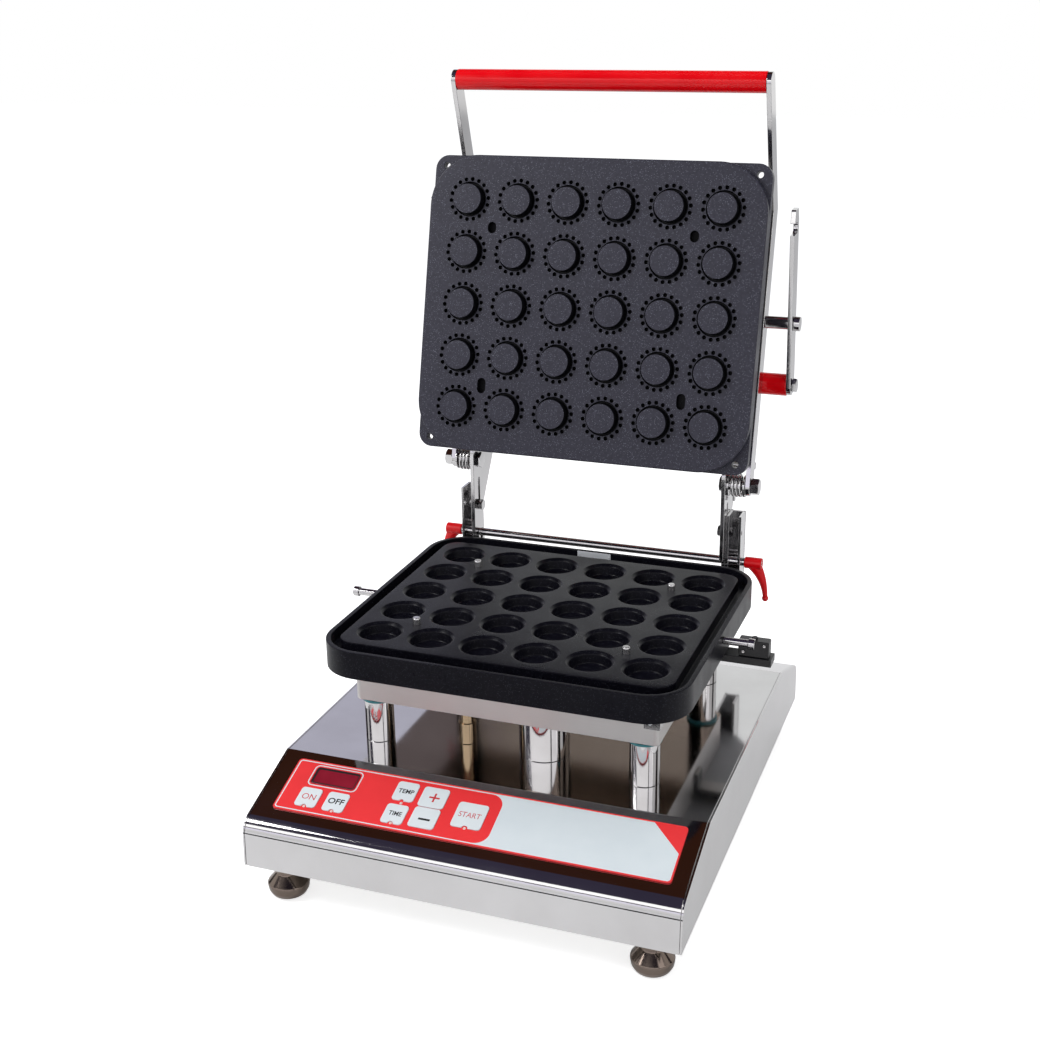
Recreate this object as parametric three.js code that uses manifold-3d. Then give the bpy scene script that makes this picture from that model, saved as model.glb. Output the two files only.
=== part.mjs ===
// Tartlet shell maker: a bench-top press that bakes thirty tartlet shells at once between two hot plates.
// The lower plate holds the cups. The lid carries the upper plate with one plunger for each cup.
// Millimetres, +Z up, front toward -Y, right toward +X. The lid stands open, leaning back on its stops.
// Origin: the middle of the bounding box's bottom, which is where the feet stand.

import * as THREE from "three";
import { mergeGeometries, mergeVertices } from "three/addons/utils/BufferGeometryUtils.js";
import Module from "manifold-3d";

const wasm = await Module();
wasm.setup();

// Fits used all over the machine
const seat = 0.3;
const runningFit = 0.3;
const overrun = 1;
const weldDistance = 1e-4;

// The grid of cups
const cupPitch = 56;
const cupColumns = 6;
const cupRows = 5;

// Heights from the table up to the plane where the two plates meet
const footHeight = 40;
const baseHeight = 78.6;
const columnHeight = 47.9;
const heaterBoxHeight = 39.5;
const plateHeight = 29;
const baseTop = footHeight + baseHeight;
const heaterBoxBottom = baseTop + columnHeight;
const plateBottom = heaterBoxBottom + heaterBoxHeight;
const plateTop = plateBottom + plateHeight;

// Base housing of folded sheet, the same fold at the front and at the back
const baseHalfWidth = 221.5;
const baseHalfDepth = 265.5;
const baseSetback = 7.5;
const sheet = 2;
const baseFrontLean = 1.5;
const slopeRun = 84;
const slopeRise = 28.6;
const noseDepth = 14;
const noseRise = 16;
const noseCrownShare = 0.16;
const seamGap = 0.3;
const basePlateInset = 2;
const ventLength = 60;
const ventWidth = 5;
const ventPitch = 16;
const ventRowReach = 90;
const ventCount = 4;

// Feet: turned bowls on a short neck
const footSideInset = 33.5;
const footX = baseHalfWidth - footSideInset;
const footInset = 26;
const footRadius = 21;
const footPadRadius = 14;
const footPadRise = 3;
const footLipShare = 0.85;
const footBowlHeight = 15;
const footShoulder = 26;
const footNeckRadius = 11;
const footPlateRadius = 16;
const footPlateHeight = 3;

// Power gland in the back wall
const glandSideInset = 71.5;
const glandX = baseHalfWidth - glandSideInset;
const glandRadius = 8;
const glandNutRadius = 12;
const glandNutLength = 6;
const glandDomeRadius = 9;
const glandLength = 20;
const glandInside = 8;

// Sloping control panel: s runs up the slope from its lower edge, x to the right
const overlayLeftInset = 21;
const overlayRightInset = 17.5;
const overlayLeft = overlayLeftInset - baseHalfWidth;
const overlayRight = baseHalfWidth - overlayRightInset;
const overlayLow = 12;
const overlayHigh = 78.5;
const overlayCorner = 4;
const overlayThickness = 1;
const displayInset = 48;
const displayX = overlayLeft + displayInset;
const displayRise = 6.15;
const displayWidth = 48.4;
const displayHeight = 21.5;
const displayProud = 0.5;
const keyWidth = 22.7;
const keyHeight = 24;
const keyCorner = 3.5;
const keyTravel = 0.5;
const keyProud = 0.9;
const switchRowS = 31.6;
const switchInset = 31.5;
const switchGap = 7.2;
const switchOnX = overlayLeft + switchInset;
const switchOffX = switchOnX + keyWidth + switchGap;
const displayS = switchRowS + keyHeight / 2 + displayRise + displayHeight / 2;
const settingInset = 125;
const settingX = overlayLeft + settingInset;
const settingGap = 4.9;
const settingLowS = 30.8;
const settingHighS = settingLowS + keyHeight + settingGap;
const stepWidth = 26.9;
const stepHeight = 25;
const stepSideGap = 5.5;
const stepGap = 0.8;
const stepX = settingX + (keyWidth + stepWidth) / 2 + stepSideGap;
const stepLowS = 32.6;
const stepHighS = stepLowS + stepHeight + stepGap;
const startInset = 198;
const startX = overlayLeft + startInset;
const startS = 44.9;
const startWidth = 30.9;
const startHeight = 30.8;

// Electronics inside the base
const boardThickness = 1.6;
const boardDrop = 13;
const boardInset = 10.5;
const boardLength = 210;
const boardLeft = overlayLeft + boardInset;
const boardRight = boardLeft + boardLength;
const boardLow = 14;
const boardHigh = 74;
const standoffRadius = 3;
const standoffInset = 6;
const relayLength = 30;
const relayWidth = 16;
const relayHeight = 12;
const relayInset = 150;
const relayX = boardLeft + relayInset;
const transformerSideInset = 101.5;
const transformerRearInset = 184;
const coreLength = 66;
const coreWidth = 34;
const coreHeight = 55;
const windingLength = 34;
const windingWidth = 58;
const windingHeight = 33;
const terminalSideInset = 101.5;
const terminalRearInset = 64;
const terminalLength = 60;
const terminalWidth = 22;
const terminalHeight = 18;
const terminalWays = 5;
const terminalSlot = 4;

// Columns between the base and the heater box
const columnRadius = 15;
const columnSideInset = 18;
const columnFrontInset = 16.5;
const columnRearInset = 20.5;
const columnWasherRim = 2;
const columnWasherThickness = 2.5;
const centreColumnRadius = 26;
const centreColumnX = 30;
const centreColumnY = -94;
const sensorRadius = 7.5;
const sensorSleeveRadius = 9;
const sensorSleeveHeight = 23;
const sensorX = -52;
const sensorY = -100;

// Lower heater box and heater
const heaterBoxHalfWidth = 160;
const heaterBoxHalfDepth = 135.5;
const heaterBoxCorner = 6;
const heaterMargin = 8;
const heaterThickness = 14;

// Lower plate: a tray with a raised block of cups inside a moat
const trayHalfWidth = 190;
const trayHalfDepth = 169.5;
const trayCorner = 45;
const trayRim = 5;
const moatDepth = 12;
const blockHalfWidth = 174;
const blockHalfDepth = 148;
const blockCorner = 18;
const cupRimRadius = 25.2;
const cupMouthRadius = 22.4;
const cupFloorRadius = 18;
const cupChamfer = 2.5;
const cupDepth = 12;
const guideX = 112;
const guideY = 84;
const guideRadius = 4;
const guideHeight = 7;
const guideTip = 1.5;

// Pins on the tray's sides that the latch hooks catch
const catchY = -4.4;
const catchDrop = 9.5;
const catchRadius = 4;
const catchLength = 32.2;
const catchHeadRadius = 5.5;
const catchHeadLength = 6.5;

// Lid switch on a bracket at the right
const switchTrayRoom = 12;
const switchBracketFront = 10;
const switchBracketRear = 30;
const switchBracketDrop = 32;
const switchBracketThickness = 8;
const switchFlangeThickness = 4;
const switchFlangeHeight = 24;
const switchEndInset = 3;
const switchFrontInset = 2;
const switchLength = 31.5;
const switchDepth = 12;
const switchHeight = 18;
const switchButtonRadius = 3;
const switchButtonHeight = 2.5;

// Hinge axis, measured back from the cups' middle and up from the meeting plane
const hingeY = 176;
const hingeRise = 94;
const hingeZ = plateTop + hingeRise;
const lidOpenDegrees = 104.4;

// Hinge uprights, which slide up and down to set the plates' gap
const uprightX = 145.7;
const uprightThickness = 4.3;
const uprightFrontY = 160;
const uprightLowFrontY = 171;
const uprightStepRise = 8;
const uprightDrop = 26;
const uprightLowRearY = 190;
const uprightWaistY = 187;
const uprightWaistRise = 36;
const uprightTopRearY = 230;
const uprightFlareRise = 103;
const uprightTopRise = 120;
const uprightCorner = 16;
const carriageTravel = 3;
const slotY = 175;
const slotBoltRise = 39;
const slotBoltRadius = 2.2;
const slotTopRise = 73;
const slotHeadRadius = 6.5;
const slotHeadLength = 5;
const slotNutRadius = 5;
const slotNutLength = 3.5;
const hingeBoltRadius = 6;
const hingeHeadRadius = 9.5;
const hingeHeadLength = 9;
const hingeNutLength = 4.5;
const washerRadius = 12.5;
const washerThickness = 2;
const stopRadius = 4;
const stopHeight = 22;

// Torsion springs on the hinge bolts
const springRadius = 12;
const springWire = 2;
const springCurls = 5;
const springSteps = 8;
const springSides = 5;
const springLeg = 22;
const springTail = 7;

// Channel brackets that carry the uprights, and the clamp shaft through them
const bracketOuterX = 167;
const bracketFrontY = 171;
const bracketRearY = 194;
const bracketWall = 3;
const bracketTopRise = 59;
const bracketBottomDrop = 64;
const bracketWebDrop = 31.5;
const clampY = 180.5;
const clampRise = 3;
const clampShaftRadius = 4.7;
const clampShaftReach = 170.5;
const clampHubReach = 190;
const clampHubRadius = 6.5;
const clampHubTaper = 0.7;
const clampArmStart = 184;
const clampArmBend = 192;
const clampArmEnd = 193;
const clampArmLength = 41;
const clampArmRootRadius = 5.2;
const clampArmTipRadius = 2.9;
const clampBallRadius = 3.8;

// Upper plate, drawn shut: a pad with the plungers on a wider flange
const plateGap = 0.4;
const padHalfWidth = 177;
const padHalfDepth = 151;
const padCorner = 40;
const padHeight = 9;
const flangeHalfWidth = 186;
const flangeHalfDepth = 159.5;
const flangeCorner = 15;
const flangeThickness = 9.6;
const flangeHoleX = 172.8;
const flangeHoleY = 148.3;
const flangeHoleRadius = 3.5;
const plungerRadius = 15.5;
const plungerHeight = 8;
const plungerEdge = 2.5;
const socketRadius = 4.8;
const socketDepth = 8;

// Upper heater, its housing and the rails that tie it to the arms
const lidHeaterThickness = 14;
const lidHeaterMargin = 8;
const housingHalfWidth = 165;
const housingHalfDepth = 140;
const housingCorner = 12;
const housingHeight = 55;
const railHalf = 12.5;
const railWall = 2;
const railFrontY = -70;
const railRearY = 95;

// Lid arms and the red handle
const armX = 170.5;
const armThickness = 5;
const armHalfWidth = 10.5;
const armBendY = -122;
const handleY = -242;
const handleRise = 20;
const handleRadius = 11;

// Latch bail: two hooked levers and a red bar
const latchY = -2.9;
const latchRise = 93.6;
const leverX = 201;
const leverThickness = 5;
const leverHalfWidth = 11;
const leverTip = 124;
const leverTipHalfWidth = 7;
const barArm = 70;
const barRadius = 12;
const barBoltRadius = 5;
const barHeadRadius = 8;
const barHeadLength = 5;
const barRestGap = 0.4;
const notchRoom = 0.5;
const notchLipRoom = 1.1;
const notchEndRoom = 1.8;
const spacerRadius = 7;
const spacerBoltRadius = 5;
const spacerHeadRadius = 8;
const spacerHeadLength = 6.5;
const spacerNutLength = 4;

// Finishes
const polishedSteel = { color: 0xc4c6c8, metalness: 1, roughness: 0.18 };
const brushedSteel = { color: 0xb4b6b8, metalness: 1, roughness: 0.4 };
const darkCoating = { color: 0x34343c, metalness: 0.2, roughness: 0.6 };
const blackCoating = { color: 0x1e1e26, metalness: 0.2, roughness: 0.55 };
const redPlastic = { color: 0xe3000f, metalness: 0, roughness: 0.35 };
const overlayRed = { color: 0xff3337, metalness: 0, roughness: 0.5 };
const keyWhite = { color: 0xe3ecf0, metalness: 0, roughness: 0.5 };
const displayRed = { color: 0xa01c30, metalness: 0, roughness: 0.2 };
const blackPlastic = { color: 0x17171a, metalness: 0, roughness: 0.45 };
const boardGreen = { color: 0x1f6b3a, metalness: 0, roughness: 0.6 };
const copperBrown = { color: 0x8a4b25, metalness: 0.4, roughness: 0.5 };
const aluminium = { color: 0xa7a9ab, metalness: 1, roughness: 0.45 };

// Geometry helpers

// Welds the corners, drops faces without area and turns the surface to face out.
function closed(geometry) {
  const bare = geometry.clone();
  bare.deleteAttribute("normal");
  bare.deleteAttribute("uv");
  const welded = mergeVertices(bare, weldDistance);
  const corners = welded.index.array;
  const point = welded.attributes.position;
  const faces = [];
  let volume = 0;
  const a = new THREE.Vector3();
  const b = new THREE.Vector3();
  const c = new THREE.Vector3();
  for (let i = 0; i < corners.length; i += 3) {
    const [p, q, r] = corners.slice(i, i + 3);
    if (p === q || q === r || r === p) continue;
    a.fromBufferAttribute(point, p);
    b.fromBufferAttribute(point, q);
    c.fromBufferAttribute(point, r);
    volume += a.dot(b.cross(c));
    faces.push([p, q, r]);
  }
  const facing = volume < 0 ? faces.map(([p, q, r]) => [p, r, q]) : faces;
  const result = new THREE.BufferGeometry();
  result.setAttribute("position", point.clone());
  result.setIndex(facing.flat());
  return result;
}

function toSolid(geometry) {
  const shell = closed(geometry);
  const vertProperties = Float32Array.from(shell.attributes.position.array);
  const triVerts = Uint32Array.from(shell.index.array);
  return new wasm.Manifold(new wasm.Mesh({ numProp: 3, vertProperties, triVerts }));
}

function toGeometry(solid) {
  const mesh = solid.getMesh();
  const geometry = new THREE.BufferGeometry();
  geometry.setAttribute("position", new THREE.BufferAttribute(mesh.vertProperties, 3));
  geometry.setIndex(Array.from(mesh.triVerts));
  return geometry;
}

function cut(body, ...tools) {
  return toGeometry(tools.reduce((rest, tool) => rest.subtract(toSolid(tool)), toSolid(body)));
}

function join(body, ...others) {
  return toGeometry(others.reduce((whole, other) => whole.add(toSolid(other)), toSolid(body)));
}

// Shapes that stand apart from each other, as one geometry.
function together(geometries) {
  return mergeGeometries(geometries.map((geometry) => closed(geometry)));
}

function arc(x, y, radius, from, to, steps) {
  const points = [];
  for (let i = 0; i <= steps; i += 1) {
    const angle = THREE.MathUtils.degToRad(from + ((to - from) * i) / steps);
    points.push(new THREE.Vector2(x + radius * Math.cos(angle), y + radius * Math.sin(angle)));
  }
  return points;
}

function circle(x, y, radius, sides) {
  return arc(x, y, radius, 0, 360, sides).slice(0, sides);
}

function roundedRectangle(left, right, low, high, radius, steps) {
  return [
    ...arc(right - radius, high - radius, radius, 0, 90, steps),
    ...arc(left + radius, high - radius, radius, 90, 180, steps),
    ...arc(left + radius, low + radius, radius, 180, 270, steps),
    ...arc(right - radius, low + radius, radius, 270, 360, steps),
  ];
}

// A slot with round ends, standing upright.
function uprightSlot(x, low, high, radius, steps) {
  return [
    ...arc(x, high - radius, radius, 0, 180, steps),
    ...arc(x, low + radius, radius, 180, 360, steps),
  ];
}

function points(pairs) {
  return pairs.map(([x, y]) => new THREE.Vector2(x, y));
}

function extrude(outline, depth) {
  return new THREE.ExtrudeGeometry(new THREE.Shape(outline), { depth, bevelEnabled: false, steps: 1 });
}

// A plate of one thickness with holes right through it.
function pierced(outline, depth, holes) {
  if (holes.length === 0) return extrude(outline, depth);
  const drills = holes.map((hole) => extrude(hole, depth + overrun * 2).translate(0, 0, -overrun));
  return cut(extrude(outline, depth), together(drills));
}

// An outline in x and y, raised from one height to another.
function slab(outline, low, high, holes = []) {
  return pierced(outline, high - low, holes).translate(0, 0, low);
}

// An outline in y and z, drawn out along x.
function profileAlongX(outline, from, to, holes = []) {
  const turn = new THREE.Matrix4().makeBasis(
    new THREE.Vector3(0, 1, 0),
    new THREE.Vector3(0, 0, 1),
    new THREE.Vector3(1, 0, 0),
  );
  const left = Math.min(from, to);
  return pierced(outline, Math.abs(to - from), holes).applyMatrix4(turn).translate(left, 0, 0);
}

function box(left, right, front, rear, low, high) {
  const geometry = new THREE.BoxGeometry(Math.abs(right - left), rear - front, high - low);
  return geometry.translate((left + right) / 2, (front + rear) / 2, (low + high) / 2);
}

function rodAlongX(radius, from, to, y, z, sides) {
  return profileAlongX(circle(y, z, radius, sides), from, to);
}

// A profile of radius and height turned about the upright axis.
function turned(profile, sides) {
  return new THREE.LatheGeometry(points(profile), sides).rotateX(Math.PI / 2);
}

// A profile of radius and reach turned about the x axis.
function turnedAlongX(profile, sides) {
  return new THREE.LatheGeometry(points(profile), sides).rotateZ(-Math.PI / 2);
}

// A skin over a row of rings with the same number of points, with flat ends.
function loft(rings) {
  const sides = rings[0].length;
  const faces = [];
  for (let i = 0; i + 1 < rings.length; i += 1) {
    for (let j = 0; j < sides; j += 1) {
      const a = i * sides + j;
      const b = i * sides + ((j + 1) % sides);
      faces.push(a, b, b + sides, a, b + sides, a + sides);
    }
  }
  const last = (rings.length - 1) * sides;
  for (let j = 1; j + 1 < sides; j += 1) {
    faces.push(0, j + 1, j, last, last + j, last + j + 1);
  }
  const geometry = new THREE.BufferGeometry().setFromPoints(rings.flat());
  geometry.setIndex(faces);
  return geometry;
}

// Moves each edge of a closed outline inward by the same distance.
function shrink(outline, distance) {
  return outline.map((corner, i) => {
    const before = outline[(i + outline.length - 1) % outline.length];
    const after = outline[(i + 1) % outline.length];
    const first = corner.clone().sub(before).normalize();
    const second = after.clone().sub(corner).normalize();
    const inward = new THREE.Vector2(-first.y - second.y, first.x + second.x).normalize();
    const lean = inward.dot(new THREE.Vector2(-first.y, first.x));
    return corner.clone().addScaledVector(inward, distance / lean);
  });
}

// A strip of even width along a bent line, with round ends.
function strip(line, halfWidth, steps) {
  const [start, bend, end] = line;
  const first = bend.clone().sub(start).normalize();
  const second = end.clone().sub(bend).normalize();
  const side = new THREE.Vector2(-first.y - second.y, first.x + second.x).normalize();
  const reach = halfWidth / side.dot(new THREE.Vector2(-first.y, first.x));
  const startAngle = THREE.MathUtils.radToDeg(first.angle());
  const endAngle = THREE.MathUtils.radToDeg(second.angle());
  return [
    ...arc(start.x, start.y, halfWidth, startAngle + 90, startAngle + 270, steps),
    bend.clone().addScaledVector(side, -reach),
    ...arc(end.x, end.y, halfWidth, endAngle - 90, endAngle + 90, steps),
    bend.clone().addScaledVector(side, reach),
  ];
}

function piece(parent, name, geometry, finish) {
  const mesh = new THREE.Mesh(closed(geometry), new THREE.MeshStandardMaterial(finish));
  mesh.name = name;
  parent.add(mesh);
  return mesh;
}

const sides = [
  { name: "left", sign: -1 },
  { name: "right", sign: 1 },
];

function gridPlaces() {
  const places = [];
  for (let column = 0; column < cupColumns; column += 1) {
    for (let row = 0; row < cupRows; row += 1) {
      const x = (column - (cupColumns - 1) / 2) * cupPitch;
      const y = (row - (cupRows - 1) / 2) * cupPitch;
      places.push([x, y]);
    }
  }
  return places;
}

const machine = new THREE.Group();

// Base housing: one folded sheet from front to back, with a flat panel let in at each side
const baseRearY = baseHalfDepth - baseSetback;
const baseFrontY = -baseHalfDepth - baseSetback;
const slopeTopRun = baseHalfDepth - noseDepth - slopeRun;
const slopeFootHeight = baseTop - slopeRise;
const noseHeight = slopeFootHeight - noseRise;

function baseOutline() {
  const start = new THREE.Vector2(baseHalfDepth - baseFrontLean, noseHeight);
  const end = new THREE.Vector2(baseHalfDepth - noseDepth, slopeFootHeight);
  const crownHeight = slopeFootHeight - slopeRise * noseCrownShare;
  const control = new THREE.Vector2(baseHalfDepth - baseFrontLean * 2, crownHeight);
  const nose = new THREE.QuadraticBezierCurve(start, control, end);
  const rear = [
    new THREE.Vector2(baseHalfDepth, footHeight),
    ...nose.getPoints(4),
    new THREE.Vector2(slopeTopRun, baseTop),
  ];
  const front = rear.map((corner) => new THREE.Vector2(-corner.x, corner.y)).reverse();
  return [...rear, ...front].map((corner) => new THREE.Vector2(corner.x - baseSetback, corner.y));
}

const outerOutline = baseOutline();
const innerOutline = shrink(outerOutline, sheet);
const wrapHalfWidth = baseHalfWidth - sheet - seamGap;
const hollow = innerOutline.map((corner) => {
  const low = corner.y < footHeight + sheet * 2;
  return new THREE.Vector2(corner.x, low ? footHeight - overrun : corner.y);
});
const wrapFull = profileAlongX(outerOutline, -wrapHalfWidth, wrapHalfWidth);
const wrapHollow = profileAlongX(hollow, -wrapHalfWidth - overrun, wrapHalfWidth + overrun);
const glandHeight = (footHeight + noseHeight) / 2;
const glandHole = new THREE.CylinderGeometry(
  glandRadius + seat,
  glandRadius + seat,
  sheet * 4,
  12,
).translate(glandX, baseRearY, glandHeight);
piece(machine, "base_shell", cut(wrapFull, wrapHollow, glandHole), polishedSteel);

for (const { name, sign } of sides) {
  const panel = profileAlongX(outerOutline, sign * (baseHalfWidth - sheet), sign * baseHalfWidth);
  piece(machine, `side_panel_${name}`, panel, polishedSteel);
}

// Bottom plate with rows of vents, set a little up inside the housing
const basePlateLow = footHeight + basePlateInset;
const basePlateTop = basePlateLow + sheet;
const basePlateFront = baseFrontY + sheet * 2;
const basePlateRear = baseRearY - sheet * 2;
const vents = [];
for (const sign of [-1, 1]) {
  for (let i = 0; i < ventCount; i += 1) {
    const y = (i - (ventCount - 1) / 2) * ventPitch - baseSetback;
    const x = sign * ventRowReach;
    vents.push(points([
      [x - ventLength / 2, y - ventWidth / 2],
      [x + ventLength / 2, y - ventWidth / 2],
      [x + ventLength / 2, y + ventWidth / 2],
      [x - ventLength / 2, y + ventWidth / 2],
    ]));
  }
}
const basePlateHalf = wrapHalfWidth - seat;
const basePlateOutline = points([
  [-basePlateHalf, basePlateFront],
  [basePlateHalf, basePlateFront],
  [basePlateHalf, basePlateRear],
  [-basePlateHalf, basePlateRear],
]);
piece(machine, "base_plate", slab(basePlateOutline, basePlateLow, basePlateTop, vents), brushedSteel);

// Feet
const footProfile = [
  [0, 0],
  [footPadRadius, 0],
  [footRadius * footLipShare, footPadRise],
  [footRadius, footBowlHeight],
  [footNeckRadius, footShoulder],
  [footNeckRadius, footHeight + basePlateInset - seat - footPlateHeight],
  [footPlateRadius, footHeight + basePlateInset - seat - footPlateHeight],
  [footPlateRadius, footHeight + basePlateInset - seat],
  [0, footHeight + basePlateInset - seat],
];
const footRows = [
  { name: "front", y: baseFrontY + footInset },
  { name: "rear", y: baseRearY - footInset },
];
for (const row of footRows) {
  for (const { name, sign } of sides) {
    const foot = piece(machine, `foot_${row.name}_${name}`, turned(footProfile, 16), brushedSteel);
    foot.position.set(sign * footX, row.y, 0);
  }
}

// Power gland through the back wall
const glandShank = new THREE.CylinderGeometry(glandRadius, glandRadius, glandInside + glandLength, 12)
  .translate(0, (glandLength - glandInside) / 2, 0);
const glandNut = new THREE.CylinderGeometry(glandNutRadius, glandNutRadius, glandNutLength, 6)
  .translate(0, seat + glandNutLength / 2, 0);
const glandDome = new THREE.CylinderGeometry(glandRadius, glandDomeRadius, glandLength - glandNutLength, 12)
  .translate(0, (glandLength + glandNutLength) / 2, 0);
const gland = piece(machine, "power_gland", join(glandShank, glandNut, glandDome), blackPlastic);
gland.position.set(glandX, baseRearY, glandHeight);

// Control panel: a foil on the slope with the display and the keys let into it
const slopeAngle = Math.atan2(slopeRise, slopeRun);
const panel = new THREE.Group();
panel.position.set(0, baseFrontY + noseDepth, slopeFootHeight);
panel.rotation.x = slopeAngle;
machine.add(panel);

const keys = [
  { name: "key_on", x: switchOnX, s: switchRowS, width: keyWidth, height: keyHeight },
  { name: "key_off", x: switchOffX, s: switchRowS, width: keyWidth, height: keyHeight },
  { name: "key_temperature", x: settingX, s: settingHighS, width: keyWidth, height: keyHeight },
  { name: "key_time", x: settingX, s: settingLowS, width: keyWidth, height: keyHeight },
  { name: "key_plus", x: stepX, s: stepHighS, width: stepWidth, height: stepHeight },
  { name: "key_minus", x: stepX, s: stepLowS, width: stepWidth, height: stepHeight },
  { name: "key_start", x: startX, s: startS, width: startWidth, height: startHeight },
];

function roundedPad(x, s, width, height, radius) {
  return roundedRectangle(x - width / 2, x + width / 2, s - height / 2, s + height / 2, radius, 2);
}

const overlayTop = seat + overlayThickness;
const keyHoles = keys.map(({ x, s, width, height }) =>
  roundedPad(x, s, width + seat * 2, height + seat * 2, keyCorner + seat));
const displayHole = roundedPad(
  displayX,
  displayS,
  displayWidth + seat * 2,
  displayHeight + seat * 2,
  keyCorner,
);
const overlayOutline = roundedRectangle(
  overlayLeft,
  overlayRight,
  overlayLow,
  overlayHigh,
  overlayCorner,
  3,
);
const overlay = slab(overlayOutline, seat, overlayTop, [...keyHoles, displayHole]);
piece(panel, "control_overlay", overlay, overlayRed);

const displayOutline = roundedPad(displayX, displayS, displayWidth, displayHeight, keyCorner - seat);
piece(panel, "display_window", slab(displayOutline, seat, overlayTop + displayProud), displayRed);

const keyTop = overlayTop + keyProud;
const keyThickness = keyTop - keyTravel - seat;
for (const { name, x, s, width, height } of keys) {
  const key = slab(roundedPad(0, 0, width, height, keyCorner), -keyThickness, 0);
  const mesh = piece(panel, name, key, keyWhite);
  mesh.position.set(x, s, keyTop);
}

// Control board, hung under the slope on four posts
const boardTop = -sheet - boardDrop;
const boardSlab = box(boardLeft, boardRight, boardLow, boardHigh, boardTop - boardThickness, boardTop);
const posts = [];
for (const x of [boardLeft + standoffInset, boardRight - standoffInset]) {
  for (const s of [boardLow + standoffInset, boardHigh - standoffInset]) {
    const post = slab(circle(x, s, standoffRadius, 8), boardTop - boardThickness / 2, -sheet - seat);
    posts.push(post);
  }
}
const boardMiddle = (boardLow + boardHigh) / 2;
const relay = box(
  relayX - relayLength / 2,
  relayX + relayLength / 2,
  boardMiddle - relayWidth / 2,
  boardMiddle + relayWidth / 2,
  boardTop - boardThickness - relayHeight,
  boardTop - boardThickness / 2,
);
piece(panel, "control_board", join(boardSlab, relay, ...posts), boardGreen);

// Transformer and terminal block on the bottom plate
const innerFloor = basePlateTop + seat;
const transformerX = transformerSideInset - baseHalfWidth;
const transformerY = basePlateRear - transformerRearInset;
const core = box(
  transformerX - coreLength / 2,
  transformerX + coreLength / 2,
  transformerY - coreWidth / 2,
  transformerY + coreWidth / 2,
  innerFloor,
  innerFloor + coreHeight,
);
const windingLow = innerFloor + (coreHeight - windingHeight) / 2;
const winding = box(
  transformerX - windingLength / 2,
  transformerX + windingLength / 2,
  transformerY - windingWidth / 2,
  transformerY + windingWidth / 2,
  windingLow,
  windingLow + windingHeight,
);
piece(machine, "transformer", join(core, winding), copperBrown);

const terminalX = baseHalfWidth - terminalSideInset;
const terminalY = basePlateRear - terminalRearInset;
const terminalSlots = [];
for (let i = 0; i < terminalWays; i += 1) {
  const x = terminalX + ((i - (terminalWays - 1) / 2) * terminalLength) / terminalWays;
  terminalSlots.push(box(
    x - terminalSlot / 2,
    x + terminalSlot / 2,
    terminalY - terminalWidth,
    terminalY + terminalWidth,
    innerFloor + terminalHeight - terminalSlot,
    innerFloor + terminalHeight + overrun,
  ));
}
const terminalBody = box(
  terminalX - terminalLength / 2,
  terminalX + terminalLength / 2,
  terminalY - terminalWidth / 2,
  terminalY + terminalWidth / 2,
  innerFloor,
  innerFloor + terminalHeight,
);
piece(machine, "terminal_block", cut(terminalBody, together(terminalSlots)), blackPlastic);

// Columns, the four outer ones with an insulating washer under the heater box
const columnLow = seat;
const columnHigh = columnHeight - seat;
const columnProfile = [
  [0, columnLow],
  [columnRadius, columnLow],
  [columnRadius, columnHigh - columnWasherThickness],
  [columnRadius + columnWasherRim, columnHigh - columnWasherThickness],
  [columnRadius + columnWasherRim, columnHigh],
  [0, columnHigh],
];
const columnX = heaterBoxHalfWidth - columnSideInset;
const columnFrontY = columnFrontInset - heaterBoxHalfDepth;
const columnRearY = heaterBoxHalfDepth - columnRearInset;
const columnRows = [
  { name: "front", y: columnFrontY },
  { name: "rear", y: columnRearY },
];
for (const row of columnRows) {
  for (const { name, sign } of sides) {
    const column = piece(machine, `column_${row.name}_${name}`, turned(columnProfile, 18), polishedSteel);
    column.position.set(sign * columnX, row.y, baseTop);
  }
}
const centreProfile = [
  [0, columnLow],
  [centreColumnRadius, columnLow],
  [centreColumnRadius, columnHigh],
  [0, columnHigh],
];
const centreColumn = piece(machine, "column_centre", turned(centreProfile, 22), polishedSteel);
centreColumn.position.set(centreColumnX, centreColumnY, baseTop);
const sensorProfile = [
  [0, columnLow],
  [sensorSleeveRadius, columnLow],
  [sensorSleeveRadius, sensorSleeveHeight],
  [sensorRadius, sensorSleeveHeight],
  [sensorRadius, columnHigh],
  [0, columnHigh],
];
const sensorPost = piece(machine, "sensor_conduit", turned(sensorProfile, 12), polishedSteel);
sensorPost.position.set(sensorX, sensorY, baseTop);

// Lower heater box, open at the top, with the heater just under the plate
const heaterBoxOutline = roundedRectangle(
  -heaterBoxHalfWidth,
  heaterBoxHalfWidth,
  -heaterBoxHalfDepth,
  heaterBoxHalfDepth,
  heaterBoxCorner,
  3,
);
const heaterBoxTop = plateBottom - seat;
const heaterBoxBody = slab(heaterBoxOutline, heaterBoxBottom, heaterBoxTop);
const heaterBoxHollow = slab(
  shrink(heaterBoxOutline, sheet),
  heaterBoxBottom + sheet,
  plateBottom + overrun,
);
piece(machine, "lower_heater_box", cut(heaterBoxBody, heaterBoxHollow), brushedSteel);

const heaterHalfWidth = heaterBoxHalfWidth - sheet - heaterMargin;
const heaterHalfDepth = heaterBoxHalfDepth - sheet - heaterMargin;
const lowerHeater = box(
  -heaterHalfWidth,
  heaterHalfWidth,
  -heaterHalfDepth,
  heaterHalfDepth,
  heaterBoxTop - heaterThickness,
  heaterBoxTop,
);
piece(machine, "lower_heater", lowerHeater, aluminium);

// Lower plate with its thirty cups
function plateOutline(halfWidth, halfDepth, corner, steps) {
  return roundedRectangle(-halfWidth, halfWidth, -halfDepth, halfDepth, corner, steps);
}

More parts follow.
